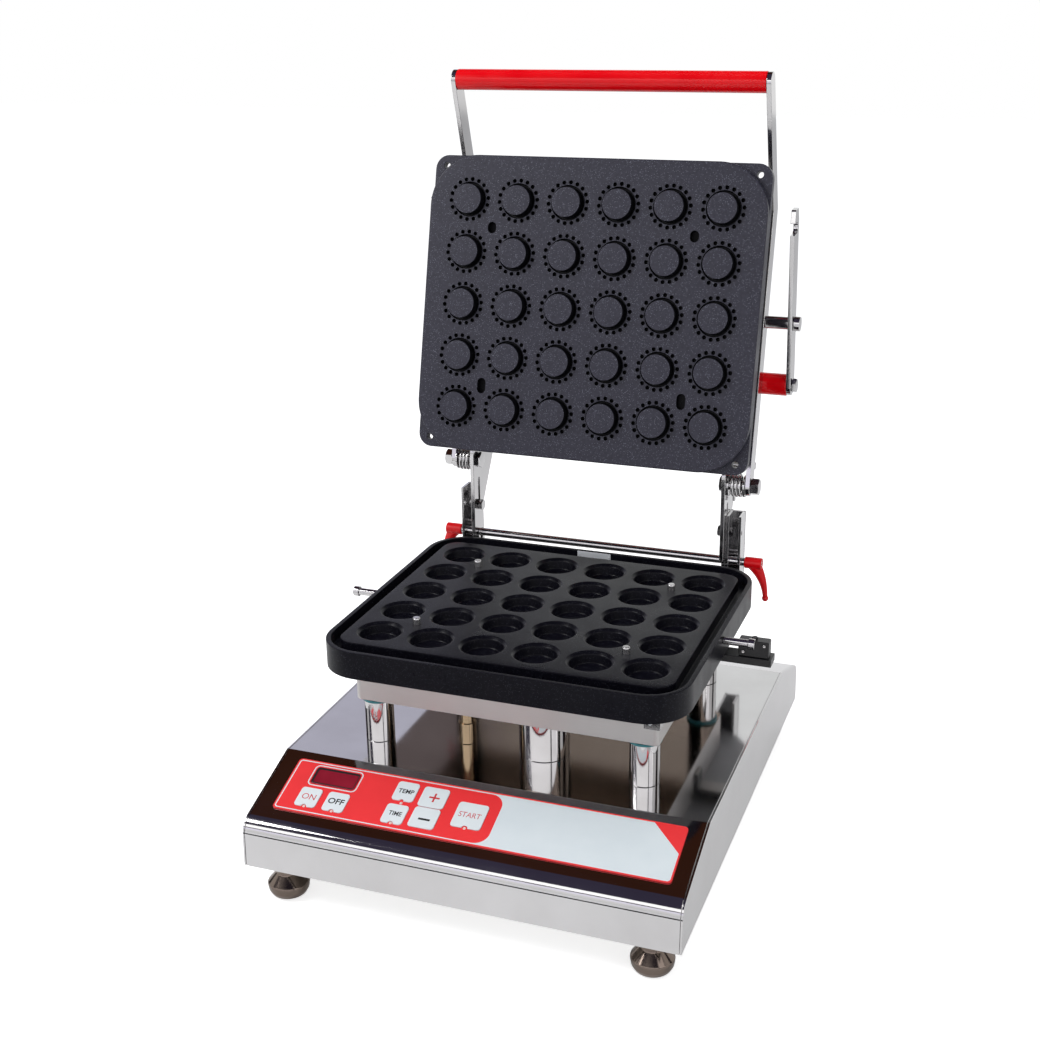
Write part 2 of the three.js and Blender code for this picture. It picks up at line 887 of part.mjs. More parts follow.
const cupSlope = (cupRimRadius - cupMouthRadius) / cupChamfer;
const cupProfile = [
  [0, -cupDepth],
  [cupFloorRadius, -cupDepth],
  [cupMouthRadius, -cupChamfer],
  [cupRimRadius + cupSlope * overrun, overrun],
  [0, overrun],
];
const cupTools = gridPlaces().map(([x, y]) => turned(cupProfile, 14).translate(x, y, plateTop));
const trayBody = slab(plateOutline(trayHalfWidth, trayHalfDepth, trayCorner, 6), plateBottom, plateTop);
const moatOuter = plateOutline(trayHalfWidth - trayRim, trayHalfDepth - trayRim, trayCorner - trayRim, 6);
const moatInner = plateOutline(blockHalfWidth, blockHalfDepth, blockCorner, 4);
const moat = slab(moatOuter, plateTop - moatDepth, plateTop + overrun, [moatInner]);
const guidePins = [];
for (const x of [-guideX, guideX]) {
  for (const y of [-guideY, guideY]) {
    const profile = [
      [0, -overrun],
      [guideRadius, -overrun],
      [guideRadius, guideHeight - guideTip],
      [guideRadius - guideTip, guideHeight],
      [0, guideHeight],
    ];
    guidePins.push(turned(profile, 12).translate(x, y, plateTop));
  }
}
const lowerPlate = join(cut(trayBody, moat, together(cupTools)), together(guidePins));
piece(machine, "lower_plate", lowerPlate, blackCoating);

// Catch pins on the tray's sides
const catchZ = plateTop - catchDrop;
const catchRoot = trayHalfWidth + seat;
const catchReach = catchRoot + catchLength;
for (const { name, sign } of sides) {
  const profile = [
    [0, catchRoot],
    [catchRadius, catchRoot],
    [catchRadius, catchReach - catchHeadLength],
    [catchHeadRadius, catchReach - catchHeadLength],
    [catchHeadRadius, catchReach],
    [0, catchReach],
  ];
  const pin = turnedAlongX(profile, 12).scale(sign, 1, 1).translate(0, catchY, catchZ);
  piece(machine, `catch_pin_${name}`, pin, polishedSteel);
}

// Lid switch and its bracket
const switchBracketTop = plateTop - switchBracketDrop;
const switchBracketLow = switchBracketTop - switchBracketThickness;
const switchLeft = trayHalfWidth + switchTrayRoom;
const switchRight = switchLeft + switchLength;
const switchBracketReach = switchRight + switchEndInset;
const switchArm = box(
  heaterBoxHalfWidth + seat,
  switchBracketReach,
  switchBracketFront,
  switchBracketRear,
  switchBracketLow,
  switchBracketTop,
);
const switchFlange = box(
  heaterBoxHalfWidth + seat,
  heaterBoxHalfWidth + seat + switchFlangeThickness,
  switchBracketFront,
  switchBracketRear,
  switchBracketTop - switchFlangeHeight,
  switchBracketTop,
);
piece(machine, "switch_bracket", join(switchArm, switchFlange), blackPlastic);
const switchLow = switchBracketTop + seat;
const switchFront = switchBracketFront + switchFrontInset;
const switchRear = switchFront + switchDepth;
const switchBody = box(
  switchLeft,
  switchRight,
  switchFront,
  switchRear,
  switchLow,
  switchLow + switchHeight,
);
const switchButton = slab(
  circle((switchLeft + switchRight) / 2, (switchFront + switchRear) / 2, switchButtonRadius, 12),
  switchLow + switchHeight - overrun,
  switchLow + switchHeight + switchButtonHeight,
);
piece(machine, "lid_switch", join(switchBody, switchButton), blackPlastic);

// Channel brackets behind the tray, each with a web that reaches the heater box
const uprightOuterX = uprightX + uprightThickness;
const bracketInnerX = uprightOuterX + seat;
const bracketLow = plateTop - bracketBottomDrop;
const bracketTop = plateTop + bracketTopRise;
const clampZ = plateTop + clampRise;
const slotBoltZ = plateTop + slotBoltRise;
for (const { name, sign } of sides) {
  const outer = box(
    sign * bracketInnerX,
    sign * bracketOuterX,
    bracketFrontY,
    bracketRearY,
    bracketLow,
    bracketTop,
  );
  const channel = box(
    sign * (bracketInnerX + bracketWall),
    sign * (bracketOuterX - bracketWall),
    bracketFrontY - overrun,
    bracketRearY - bracketWall,
    bracketLow - overrun,
    bracketTop + overrun,
  );
  const web = box(
    sign * bracketInnerX,
    sign * (bracketInnerX + bracketWall),
    heaterBoxHalfDepth + seat,
    bracketRearY - bracketWall / 2,
    bracketLow,
    plateTop - bracketWebDrop,
  );
  const shaftHole = rodAlongX(
    clampShaftRadius + runningFit,
    sign * (bracketInnerX - overrun),
    sign * (bracketOuterX + overrun),
    clampY,
    clampZ,
    12,
  );
  const boltHole = rodAlongX(
    slotBoltRadius + runningFit,
    sign * (bracketInnerX - overrun),
    sign * (bracketInnerX + bracketWall + overrun),
    slotY,
    slotBoltZ,
    10,
  );
  const bracket = cut(join(cut(outer, channel), web), shaftHole, boltHole);
  piece(machine, `hinge_bracket_${name}`, bracket, brushedSteel);

  // Bolt that guides the upright's slot, with its nut inside the channel
  const headEnd = uprightX - seat;
  const nutStart = bracketInnerX + bracketWall + seat;
  const shankStart = headEnd - overrun;
  const shankEnd = nutStart + overrun;
  const shank = rodAlongX(slotBoltRadius, sign * shankStart, sign * shankEnd, slotY, slotBoltZ, 10);
  const headStart = headEnd - slotHeadLength;
  const head = rodAlongX(slotHeadRadius, sign * headStart, sign * headEnd, slotY, slotBoltZ, 6);
  const nutEnd = nutStart + slotNutLength;
  const nut = rodAlongX(slotNutRadius, sign * nutStart, sign * nutEnd, slotY, slotBoltZ, 6);
  piece(machine, `slot_bolt_${name}`, join(shank, head, nut), polishedSteel);
}

const clampShaft = rodAlongX(clampShaftRadius, -clampShaftReach, clampShaftReach, clampY, clampZ, 16);
piece(machine, "clamp_shaft", clampShaft, polishedSteel);

// Red clamp levers on the ends of the shaft, hanging down
for (const { name, sign } of sides) {
  const hubStart = clampShaftReach + seat;
  const hubProfile = [
    [0, hubStart],
    [clampHubRadius - clampHubTaper, hubStart],
    [clampHubRadius, clampHubReach - clampHubTaper],
    [clampHubRadius - clampHubTaper, clampHubReach],
    [0, clampHubReach],
  ];
  const path = new THREE.QuadraticBezierCurve3(
    new THREE.Vector3(clampArmStart, 0, 0),
    new THREE.Vector3(clampArmBend, 0, -clampArmLength / 2),
    new THREE.Vector3(clampArmEnd, 0, -clampArmLength),
  );
  const rings = [];
  const ringCount = 4;
  for (let i = 0; i <= ringCount; i += 1) {
    const share = i / ringCount;
    const centre = path.getPoint(share);
    const radius = clampArmRootRadius + (clampArmTipRadius - clampArmRootRadius) * Math.sqrt(share);
    rings.push(circle(0, 0, radius, 8).map(({ x, y }) => new THREE.Vector3(centre.x + x, y, centre.z)));
  }
  const ball = new THREE.SphereGeometry(clampBallRadius, 8, 5).translate(clampArmEnd, 0, -clampArmLength);
  const lever = join(turnedAlongX(hubProfile, 12), loft(rings), ball).scale(sign, 1, 1);
  const mesh = piece(machine, `clamp_lever_${name}`, lever, redPlastic);
  mesh.position.set(0, clampY, clampZ);
}

// Hinge uprights with the lid's pivots, springs and stops
const lidOpenAngle = THREE.MathUtils.degToRad(lidOpenDegrees);
const carriage = new THREE.Group();
machine.add(carriage);

// The stop stands behind the open arm, a little above the pivot.
function openPlace(along, behind) {
  const lean = lidOpenAngle - Math.PI / 2;
  return {
    y: hingeY + along * Math.sin(lean) + behind * Math.cos(lean),
    z: hingeZ + along * Math.cos(lean) - behind * Math.sin(lean),
  };
}
const stop = openPlace(stopHeight, armHalfWidth + seat + stopRadius);

const uprightOutline = [
  ...arc(
    uprightFrontY + uprightCorner,
    plateTop + uprightTopRise - uprightCorner,
    uprightCorner,
    90,
    180,
    4,
  ),
  ...points([
    [uprightFrontY, plateTop + uprightStepRise],
    [uprightLowFrontY, plateTop + uprightStepRise],
    [uprightLowFrontY, plateTop - uprightDrop],
    [uprightLowRearY, plateTop - uprightDrop],
    [uprightWaistY, plateTop + uprightWaistRise],
    [uprightTopRearY, plateTop + uprightFlareRise],
    [uprightTopRearY, plateTop + uprightTopRise],
  ]),
];
const pivotHole = circle(hingeY, hingeZ, hingeBoltRadius + runningFit, 16);
const boltSlotLow = slotBoltZ - slotBoltRadius - carriageTravel - runningFit;
const boltSlot = uprightSlot(slotY, boltSlotLow, plateTop + slotTopRise, slotBoltRadius + runningFit, 5);
const shaftSlot = uprightSlot(
  clampY,
  clampZ - clampShaftRadius - carriageTravel - runningFit,
  clampZ + clampShaftRadius + runningFit,
  clampShaftRadius + runningFit,
  6,
);

const boltHeadStart = armX + armThickness + seat;
const innerWasherEnd = uprightOuterX + seat + washerThickness;
const outerWasherStart = armX - seat - washerThickness;
const springStart = innerWasherEnd + seat + springWire / 2;
const springEnd = outerWasherStart - seat - springWire / 2;
const springPitch = (springEnd - springStart) / springCurls;

function springCentre(turn) {
  const angle = turn * Math.PI * 2;
  return new THREE.Vector3(
    springStart + turn * springPitch,
    springRadius * Math.cos(angle),
    springRadius * Math.sin(angle),
  );
}

// One wire wound about the bolt, with a straight leg down the upright and a short tail by the arm.
function torsionSpring() {
  const ringAt = (centre, turn) => {
    const angle = turn * Math.PI * 2;
    const outward = new THREE.Vector3(0, Math.cos(angle), Math.sin(angle));
    const along = new THREE.Vector3(
      springPitch / (Math.PI * 2),
      -springRadius * Math.sin(angle),
      springRadius * Math.cos(angle),
    ).normalize();
    const across = new THREE.Vector3().crossVectors(along, outward);
    return circle(0, 0, springWire / 2, springSides).map(({ x, y }) =>
      centre.clone().addScaledVector(outward, x).addScaledVector(across, y));
  };
  const rings = [ringAt(springCentre(0).add(new THREE.Vector3(0, 0, -springLeg)), 0)];
  for (let i = 0; i <= springCurls * springSteps; i += 1) {
    rings.push(ringAt(springCentre(i / springSteps), i / springSteps));
  }
  rings.push(ringAt(springCentre(springCurls).add(new THREE.Vector3(0, 0, springTail)), springCurls));
  return loft(rings);
}

function leastSpringGap() {
  let least = Infinity;
  const samples = springCurls * springSteps * 4;
  for (let i = 0; i < samples; i += 1) {
    for (let j = i + springSteps * 2; j <= samples; j += 1) {
      const first = springCentre((i / samples) * springCurls);
      const second = springCentre((j / samples) * springCurls);
      least = Math.min(least, first.distanceTo(second) - springWire);
    }
  }
  return least;
}
console.log(`least gap between the curls of a torsion spring: ${leastSpringGap().toFixed(2)} mm`);

for (const { name, sign } of sides) {
  const plate = profileAlongX(
    uprightOutline,
    sign * uprightX,
    sign * uprightOuterX,
    [pivotHole, boltSlot, shaftSlot],
  );
  const stopPin = rodAlongX(
    stopRadius,
    sign * (uprightOuterX - overrun),
    sign * (armX + armThickness),
    stop.y,
    stop.z,
    12,
  );
  piece(carriage, `hinge_upright_${name}`, join(plate, stopPin), polishedSteel);

  const boltProfile = [
    [0, uprightX - seat - hingeNutLength / 2],
    [hingeBoltRadius, uprightX - seat - hingeNutLength / 2],
    [hingeBoltRadius, uprightOuterX + seat],
    [washerRadius, uprightOuterX + seat],
    [washerRadius, innerWasherEnd],
    [hingeBoltRadius, innerWasherEnd],
    [hingeBoltRadius, outerWasherStart],
    [washerRadius, outerWasherStart],
    [washerRadius, armX - seat],
    [hingeBoltRadius, armX - seat],
    [hingeBoltRadius, boltHeadStart + hingeHeadLength / 2],
    [0, boltHeadStart + hingeHeadLength / 2],
  ];
  const nut = rodAlongX(hingeHeadRadius, uprightX - seat - hingeNutLength, uprightX - seat, 0, 0, 6);
  const head = rodAlongX(hingeHeadRadius, boltHeadStart, boltHeadStart + hingeHeadLength, 0, 0, 6);
  const bolt = piece(
    carriage,
    `hinge_bolt_${name}`,
    join(turnedAlongX(boltProfile, 12), nut, head).scale(sign, 1, 1),
    polishedSteel,
  );
  bolt.position.set(0, hingeY, hingeZ);

  const spring = piece(carriage, `torsion_spring_${name}`, torsionSpring().scale(sign, 1, 1), polishedSteel);
  spring.position.set(0, hingeY, hingeZ);
}

// Lid. Its pieces are drawn with the lid shut, and the outer group swings them open about the hinge.
const lid = new THREE.Group();
lid.position.set(0, hingeY, hingeZ);
lid.rotation.x = -lidOpenAngle;
machine.add(lid);
const lidShut = new THREE.Group();
lidShut.position.set(0, -hingeY, -hingeZ);
lid.add(lidShut);

const padLow = plateTop + plateGap;
const padTop = padLow + padHeight;
const flangeTop = padTop + flangeThickness;

const plungerProfile = [
  [0, -plungerHeight],
  ...arc(plungerRadius - plungerEdge, plungerEdge - plungerHeight, plungerEdge, -90, 0, 1)
    .map(({ x, y }) => [x, y]),
  [plungerRadius, overrun],
  [0, overrun],
];
const plungers = gridPlaces().map(([x, y]) => turned(plungerProfile, 14).translate(x, y, padLow));

// Sockets for the guide pins, drawn out toward the hinge because the lid comes down on an arc
const sockets = [];
for (const x of [-guideX, guideX]) {
  for (const y of [-guideY, guideY]) {
    const swing = (guideHeight * hingeRise) / (hingeY - y);
    const outline = uprightSlot(x, y - socketRadius, y + socketRadius + swing, socketRadius, 6);
    sockets.push(slab(outline, padLow - overrun, padLow + socketDepth));
  }
}
const flangeHoles = [];
for (const x of [-flangeHoleX, flangeHoleX]) {
  for (const y of [-flangeHoleY, flangeHoleY]) {
    flangeHoles.push(circle(x, y, flangeHoleRadius, 10));
  }
}
const pad = slab(plateOutline(padHalfWidth, padHalfDepth, padCorner, 6), padLow, padTop + overrun);
const flange = slab(
  plateOutline(flangeHalfWidth, flangeHalfDepth, flangeCorner, 4),
  padTop,
  flangeTop,
  flangeHoles,
);
const upperPlate = cut(join(join(flange, pad), together(plungers)), together(sockets));
piece(lidShut, "upper_plate", upperPlate, darkCoating);

// Heater on the back of the plate, under a housing open toward it
const lidHeaterHalfWidth = housingHalfWidth - sheet - lidHeaterMargin;
const lidHeaterHalfDepth = housingHalfDepth - sheet - lidHeaterMargin;
const lidHeater = box(
  -lidHeaterHalfWidth,
  lidHeaterHalfWidth,
  -lidHeaterHalfDepth,
  lidHeaterHalfDepth,
  flangeTop + seat,
  flangeTop + seat + lidHeaterThickness,
);
piece(lidShut, "lid_heater", lidHeater, aluminium);

const housingLow = flangeTop + seat;
const housingTop = housingLow + housingHeight;
const housingOutline = plateOutline(housingHalfWidth, housingHalfDepth, housingCorner, 3);
const housingBody = slab(housingOutline, housingLow, housingTop);
const housingHollow = slab(shrink(housingOutline, sheet), housingLow - overrun, housingTop - sheet);
piece(lidShut, "lid_housing", cut(housingBody, housingHollow), brushedSteel);

// Cross rails of square tube between the arms
const railLow = housingTop + seat;
const railEnd = armX - seat;
const rails = [
  { name: "front", y: railFrontY },
  { name: "rear", y: railRearY },
];
for (const { name, y } of rails) {
  const outer = roundedRectangle(y - railHalf, y + railHalf, railLow, railLow + railHalf * 2, railWall, 1);
  const inner = points([
    [y - railHalf + railWall, railLow + railWall],
    [y + railHalf - railWall, railLow + railWall],
    [y + railHalf - railWall, railLow + railHalf * 2 - railWall],
    [y - railHalf + railWall, railLow + railHalf * 2 - railWall],
  ]);
  piece(lidShut, `lid_rail_${name}`, profileAlongX(outer, -railEnd, railEnd, [inner]), brushedSteel);
}

// Arms from the hinge to the handle, bent down toward the front
const latchZ = plateTop + latchRise;
const handleZ = plateTop + handleRise;
const armLine = points([
  [hingeY, hingeZ],
  [armBendY, hingeZ],
  [handleY, handleZ],
]);
const armOutline = strip(armLine, armHalfWidth, 6);
const armHoles = [
  circle(hingeY, hingeZ, hingeBoltRadius + runningFit, 16),
  circle(latchY, latchZ, spacerBoltRadius + runningFit, 12),
];
for (const { name, sign } of sides) {
  const arm = profileAlongX(armOutline, sign * armX, sign * (armX + armThickness), armHoles);
  piece(lidShut, `lid_arm_${name}`, arm, polishedSteel);

  // Spacer and bolt that the latch lever turns on
  const profile = [
    [0, armX - seat - spacerNutLength],
    [spacerHeadRadius, armX - seat - spacerNutLength],
    [spacerHeadRadius, armX - seat],
    [spacerBoltRadius, armX - seat],
    [spacerBoltRadius, armX + armThickness + seat],
    [spacerRadius, armX + armThickness + seat],
    [spacerRadius, leverX - seat],
    [spacerBoltRadius, leverX - seat],
    [spacerBoltRadius, leverX + leverThickness + seat],
    [spacerHeadRadius, leverX + leverThickness + seat],
    [spacerHeadRadius, leverX + leverThickness + seat + spacerHeadLength],
    [0, leverX + leverThickness + seat + spacerHeadLength],
  ];
  const spacer = turnedAlongX(profile, 12).scale(sign, 1, 1).translate(0, latchY, latchZ);
  piece(lidShut, `latch_pivot_${name}`, spacer, polishedSteel);
}
const handleEnd = armX - seat;
piece(lidShut, "handle", rodAlongX(handleRadius, -handleEnd, handleEnd, handleY, handleZ, 20), redPlastic);

// Latch bail, drawn with its hooks pointing down. At rest the red bar lies on the arms' edges.
const catchFall = latchZ - catchZ;
const barRestHeight = hingeZ + armHalfWidth + barRadius + barRestGap - latchZ;
const barRestAngle = Math.PI + Math.asin(barRestHeight / barArm);
const latch = new THREE.Group();
latch.position.set(0, latchY, latchZ);
latch.rotation.x = barRestAngle - Math.PI * 1.5;
lidShut.add(latch);

const catchAngle = Math.PI * 1.5 - Math.atan((latchY - catchY) / catchFall);
const latchRange = THREE.MathUtils.radToDeg(catchAngle - barRestAngle);
console.log(`latch turns ${latchRange.toFixed(1)} degrees from its rest to the catch pins`);

const notchTop = -(catchFall - catchRadius - notchLipRoom);
const notchLow = -(catchFall + carriageTravel + catchRadius + notchRoom);
const notchHeight = notchTop - notchLow;
const notchEnd = -catchRadius - notchEndRoom;
const leverOutline = [
  ...arc(0, barArm, leverHalfWidth, 0, 180, 6),
  ...points([
    [-leverHalfWidth, notchTop],
    [-leverHalfWidth, notchLow],
    [-leverTipHalfWidth, -leverTip],
    [leverTipHalfWidth, -leverTip],
    [leverHalfWidth, notchLow - notchRoom],
    [leverHalfWidth, notchLow],
  ]),
  ...arc(notchEnd + notchHeight / 2, (notchTop + notchLow) / 2, notchHeight / 2, 270, 90, 5),
  new THREE.Vector2(leverHalfWidth, notchTop),
];
const leverHoles = [
  circle(0, 0, spacerBoltRadius + runningFit, 12),
  circle(0, barArm, barBoltRadius + runningFit, 12),
];
for (const { name, sign } of sides) {
  const lever = profileAlongX(leverOutline, sign * leverX, sign * (leverX + leverThickness), leverHoles);
  piece(latch, `latch_lever_${name}`, lever, polishedSteel);
}
const barEnd = leverX - seat;
const boltEnd = leverX + leverThickness + seat;
const halfBar = [
  [0, 0],
  [barRadius, 0],
  [barRadius, barEnd],
  [barBoltRadius, barEnd],
  [barBoltRadius, boltEnd],
  [barHeadRadius, boltEnd],
  [barHeadRadius, boltEnd + barHeadLength],
  [0, boltEnd + barHeadLength],
];
const barProfile = [...halfBar.slice(2).map(([r, x]) => [r, -x]).reverse(), ...halfBar.slice(2)];
piece(latch, "latch_bar", turnedAlongX(barProfile, 16).translate(0, 0, barArm), redPlastic);

// Stand the machine with the middle of its bounding box's bottom on the origin.
machine.updateMatrixWorld(true);
const reach = new THREE.Box3().setFromObject(machine, true);
const middle = reach.getCenter(new THREE.Vector3());
machine.position.set(-middle.x, -middle.y, -reach.min.z);

export default machine;
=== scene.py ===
import math

import bmesh
import bpy
from mathutils import Matrix, Vector


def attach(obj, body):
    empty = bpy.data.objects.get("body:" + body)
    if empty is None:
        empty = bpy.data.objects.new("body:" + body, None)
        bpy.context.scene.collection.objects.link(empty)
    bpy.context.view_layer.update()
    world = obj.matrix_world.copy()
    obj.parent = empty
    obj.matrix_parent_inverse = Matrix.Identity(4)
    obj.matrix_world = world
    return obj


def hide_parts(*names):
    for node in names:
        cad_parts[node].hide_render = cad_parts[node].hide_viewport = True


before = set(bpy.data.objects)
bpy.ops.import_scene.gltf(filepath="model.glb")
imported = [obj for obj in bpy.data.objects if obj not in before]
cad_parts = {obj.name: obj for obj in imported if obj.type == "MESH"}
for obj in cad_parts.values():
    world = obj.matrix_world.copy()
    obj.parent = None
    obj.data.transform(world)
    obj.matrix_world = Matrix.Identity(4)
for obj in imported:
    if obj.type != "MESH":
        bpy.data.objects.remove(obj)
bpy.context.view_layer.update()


# Camera: where the photograph was taken from, a little to the right of the middle, about 20 degrees
# above the table and 1.5 m away, with a slight roll.
def set_down(name, data):
    """A new object in the scene."""
    made = bpy.data.objects.new(name, data)
    bpy.context.scene.collection.objects.link(made)
    return made


sight = bpy.data.cameras.new("camera")
sight.sensor_width = 36
sight.lens = 52.28
camera = set_down("camera", sight)
swing, climb, roll = (math.radians(angle) for angle in (20.830, 20.049, -0.987))
back = Vector((math.sin(swing) * math.cos(climb), -math.cos(swing) * math.cos(climb), math.sin(climb)))
level = Vector((math.cos(swing), math.sin(swing), 0))
upright = back.cross(level)
right = level * math.cos(roll) + upright * math.sin(roll)
up = upright * math.cos(roll) - level * math.sin(roll)
facing = Matrix((right, up, back)).transposed().to_4x4()
camera.matrix_world = Matrix.Translation((0.4869, -1.3758, 0.8646)) @ facing
bpy.context.scene.camera = camera
bpy.context.scene.view_settings.view_transform = "Standard"


# Studio: a pale sweep of paper under the machine, an even pale room and three large soft lamps.
# Metal and glass see the same white background as the camera does.
def add_node(tree, kind, links=None, **settings):
    """A shader node with its settings, and a value or a link for each socket named."""
    made = tree.nodes.new(kind)
    for field, value in settings.items():
        setattr(made, field, value)
    for socket, source in (links or {}).items():
        if isinstance(source, bpy.types.NodeSocket):
            tree.links.new(source, made.inputs[socket])
        else:
            made.inputs[socket].default_value = source
    return made


def linear(hex_colour):
    """An sRGB hex colour as the linear values that shaders take."""
    shares = [int(hex_colour[i:i + 2], 16) / 255 for i in (0, 2, 4)]
    return [s / 12.92 if s <= 0.04045 else ((s + 0.055) / 1.055) ** 2.4 for s in shares] + [1.0]


def ray_kinds(tree):
    """What kind of ray looks, and 1 where it is the camera's or a reflection's."""
    kinds = add_node(tree, "ShaderNodeLightPath").outputs
    return kinds, add_node(tree, "ShaderNodeMath", {0: kinds["Is Camera Ray"], 1: kinds["Is Glossy Ray"]},
                           operation="MAXIMUM").outputs[0]


room = bpy.data.worlds.new("studio_room")
bpy.context.scene.world = room
room.use_nodes = True
air = room.node_tree
air.nodes.clear()
kinds, straight = ray_kinds(air)
through = add_node(air, "ShaderNodeMath", {0: straight, 1: kinds["Is Transmission Ray"]}, operation="MAXIMUM")
even = add_node(air, "ShaderNodeBackground", {"Color": linear("F4F6FA"), "Strength": 0.42})
white = add_node(air, "ShaderNodeBackground", {"Color": linear("FFFFFF"), "Strength": 1.0})
shown = add_node(air, "ShaderNodeMixShader", {0: through.outputs[0], 1: even.outputs[0], 2: white.outputs[0]})
add_node(air, "ShaderNodeOutputWorld", {"Surface": shown.outputs[0]})


def lamp(name, place, aim, width, height, watts, gleam=True):
    """A soft rectangular lamp that faces one point. Metal shows the room round it but not the lamp itself
    where gleam is off."""
    glow = bpy.data.lights.new(name, "AREA")
    glow.shape = "RECTANGLE"
    glow.size = width
    glow.size_y = height
    glow.energy = watts
    stand = set_down(name, glow)
    stand.location = place
    stand.rotation_euler = (Vector(aim) - Vector(place)).to_track_quat("-Z", "Y").to_euler()
    stand.visible_glossy = gleam


lamp("lamp_left", (-1.7, -1.1, 1.9), (0, 0, 0.35), 0.9, 0.9, 30)
lamp("lamp_right", (1.7, -0.9, 1.5), (0, 0, 0.3), 1.0, 1.4, 7)
lamp("lamp_above", (0, 0.3, 2.3), (0, 0, 0.3), 1.6, 1.2, 12, gleam=False)

paper = bpy.data.materials.new("white_studio_paper")
paper.use_nodes = True
pulp = paper.node_tree
pulp.nodes.clear()
kinds, straight = ray_kinds(pulp)
matt = add_node(pulp, "ShaderNodeBsdfDiffuse", {"Color": linear("F2F2F2")})
lift = add_node(pulp, "ShaderNodeMapRange", {0: kinds["Is Camera Ray"], 3: 0.2, 4: 0.72})
shine = add_node(pulp, "ShaderNodeEmission", {"Color": linear("FFFFFF"), "Strength": lift.outputs[0]})
lifted = add_node(pulp, "ShaderNodeAddShader", {0: matt.outputs[0], 1: shine.outputs[0]})
sweep = add_node(pulp, "ShaderNodeMixShader", {0: straight, 1: matt.outputs[0], 2: lifted.outputs[0]})
add_node(pulp, "ShaderNodeOutputMaterial", {"Surface": sweep.outputs[0]})
floor_mesh = bpy.data.meshes.new("floor")
floor_mesh.from_pydata([(-8, -8, 0), (8, -8, 0), (8, 8, 0), (-8, 8, 0)], [], [(0, 1, 2, 3)])
floor_mesh.materials.append(paper)
set_down("floor", floor_mesh)


def card(name, corners, faces, colour, strength=1.0):
    """A sheet of card hung round the machine. Only polished surfaces show it, so it neither lights the machine
    nor hides the room."""
    paint = bpy.data.materials.new(name)
    paint.use_nodes = True
    paint.node_tree.nodes.clear()
    tone = add_node(paint.node_tree, "ShaderNodeEmission", {"Color": linear(colour), "Strength": strength})
    add_node(paint.node_tree, "ShaderNodeOutputMaterial", {"Surface": tone.outputs[0]})
    mesh = bpy.data.meshes.new(name)
    mesh.from_pydata(corners, [], faces)
    mesh.materials.append(paint)
    hung = set_down(name, mesh)
    hung.visible_camera = hung.visible_diffuse = hung.visible_shadow = hung.visible_transmission = False


# Cards bent in 8 steps round the machine from one climb to another: 0 is level in front, 90 overhead and
# 180 level behind. They hang 3.2 m from a line 0.1 m above the floor, and reach from left to right.
reach, foot_line, bends = 3.2, 0.1, 8
for name, first, last, left, right, colour, strength in (
        ("card_low", 10, 19, -5, 5, "E9E6F4", 1.4), ("card_line", 19, 23, -5, 5, "14131C", 1.0),
        ("card_bright", 23, 38, -5, 5, "FFFFFF", 1.8), ("card_front", 38, 101, -5, 5, "3D384B", 1.0),
        ("card_above", 101, 137, -5, 5, "3A2016", 1.0), ("card_behind_left", 137, 166, -5, -1.2, "D0D0E0", 1.0),
        ("card_behind_right", 137, 166, -1.2, 5, "F4F6F6", 1.1)):
    turns = [math.radians(first + (last - first) * i / bends) for i in range(bends + 1)]
    bow = [(-reach * math.cos(turn), foot_line + reach * math.sin(turn)) for turn in turns]
    card(name, [(x, y, z) for y, z in bow for x in (left, right)],
         [(2 * i, 2 * i + 1, 2 * i + 3, 2 * i + 2) for i in range(bends)], colour, strength)
# A dark strip on the paper in front, which draws the dark line under the housing's nose
near, far, lift = -0.61, -0.46, 0.003
card("card_floor", [(-2, near, lift), (2, near, lift), (2, far, lift), (-2, far, lift)], [(0, 1, 2, 3)],
     "17161E")
# Dark upright strips beside the camera, 3.1 m away, which draw the dark lines on round polished steel
stand_off, low, high = 3.1, Vector((0, 0, 0.02)), Vector((0, 0, 3.0))
for name, heading, half_width in (
        ("strip_right", 46, 0.11), ("strip_side", 111, 0.3), ("strip_left", -100, 0.5)):
    turn = math.radians(heading)
    middle = Vector((stand_off * math.sin(turn), -stand_off * math.cos(turn), 0))
    half = Vector((math.cos(turn), math.sin(turn), 0)) * half_width
    card(name, [middle - half + low, middle + half + low, middle + half + high, middle - half + high],
         [(0, 1, 2, 3)], "17161E")


# Base housing: one sheet of 2 mm stainless steel, polished to a mirror and folded into a low nose, a
# sloping panel and a flat top, with the same fold behind. A flat cheek is let in at each end.
MACHINE = Matrix.Translation((-0.007, -0.0025, 0)) @ Matrix.Scale(0.001, 4)
SIDES = (("left", -1), ("right", 1))
SLOPE_RUN, SLOPE_RISE = 84, 28.6


def shift(*way):
    """A move along x, y and z."""
    return Matrix.Translation(way)


def finish(name, colour, noises=(), metallic=0.0, roughness=0.5, **sockets):
    """A new material on one principled shader, with a noise for each scale and detail. A scale for each axis
    draws the noise out. Gives the material, its shader, the place on the object and the noises."""
    made = bpy.data.materials.new(name)
    made.use_nodes = True
    tree = made.node_tree
    shader = tree.nodes["Principled BSDF"]
    settings = {"Base Color": linear(colour), "Metallic": metallic, "Roughness": roughness, **sockets}
    for socket, value in settings.items():
        shader.inputs[socket].default_value = value
    spot = add_node(tree, "ShaderNodeTexCoord").outputs["Object"]
    patterns = []
    for scale, detail in noises:
        place = spot
        if isinstance(scale, list):
            place, scale = add_node(tree, "ShaderNodeMapping", {"Vector": spot, "Scale": scale}).outputs[0], 1.0
        noise = add_node(tree, "ShaderNodeTexNoise", {"Vector": place, "Scale": scale, "Detail": detail})
        patterns.append(noise.outputs["Fac"])
    return (made, shader, spot, *patterns)


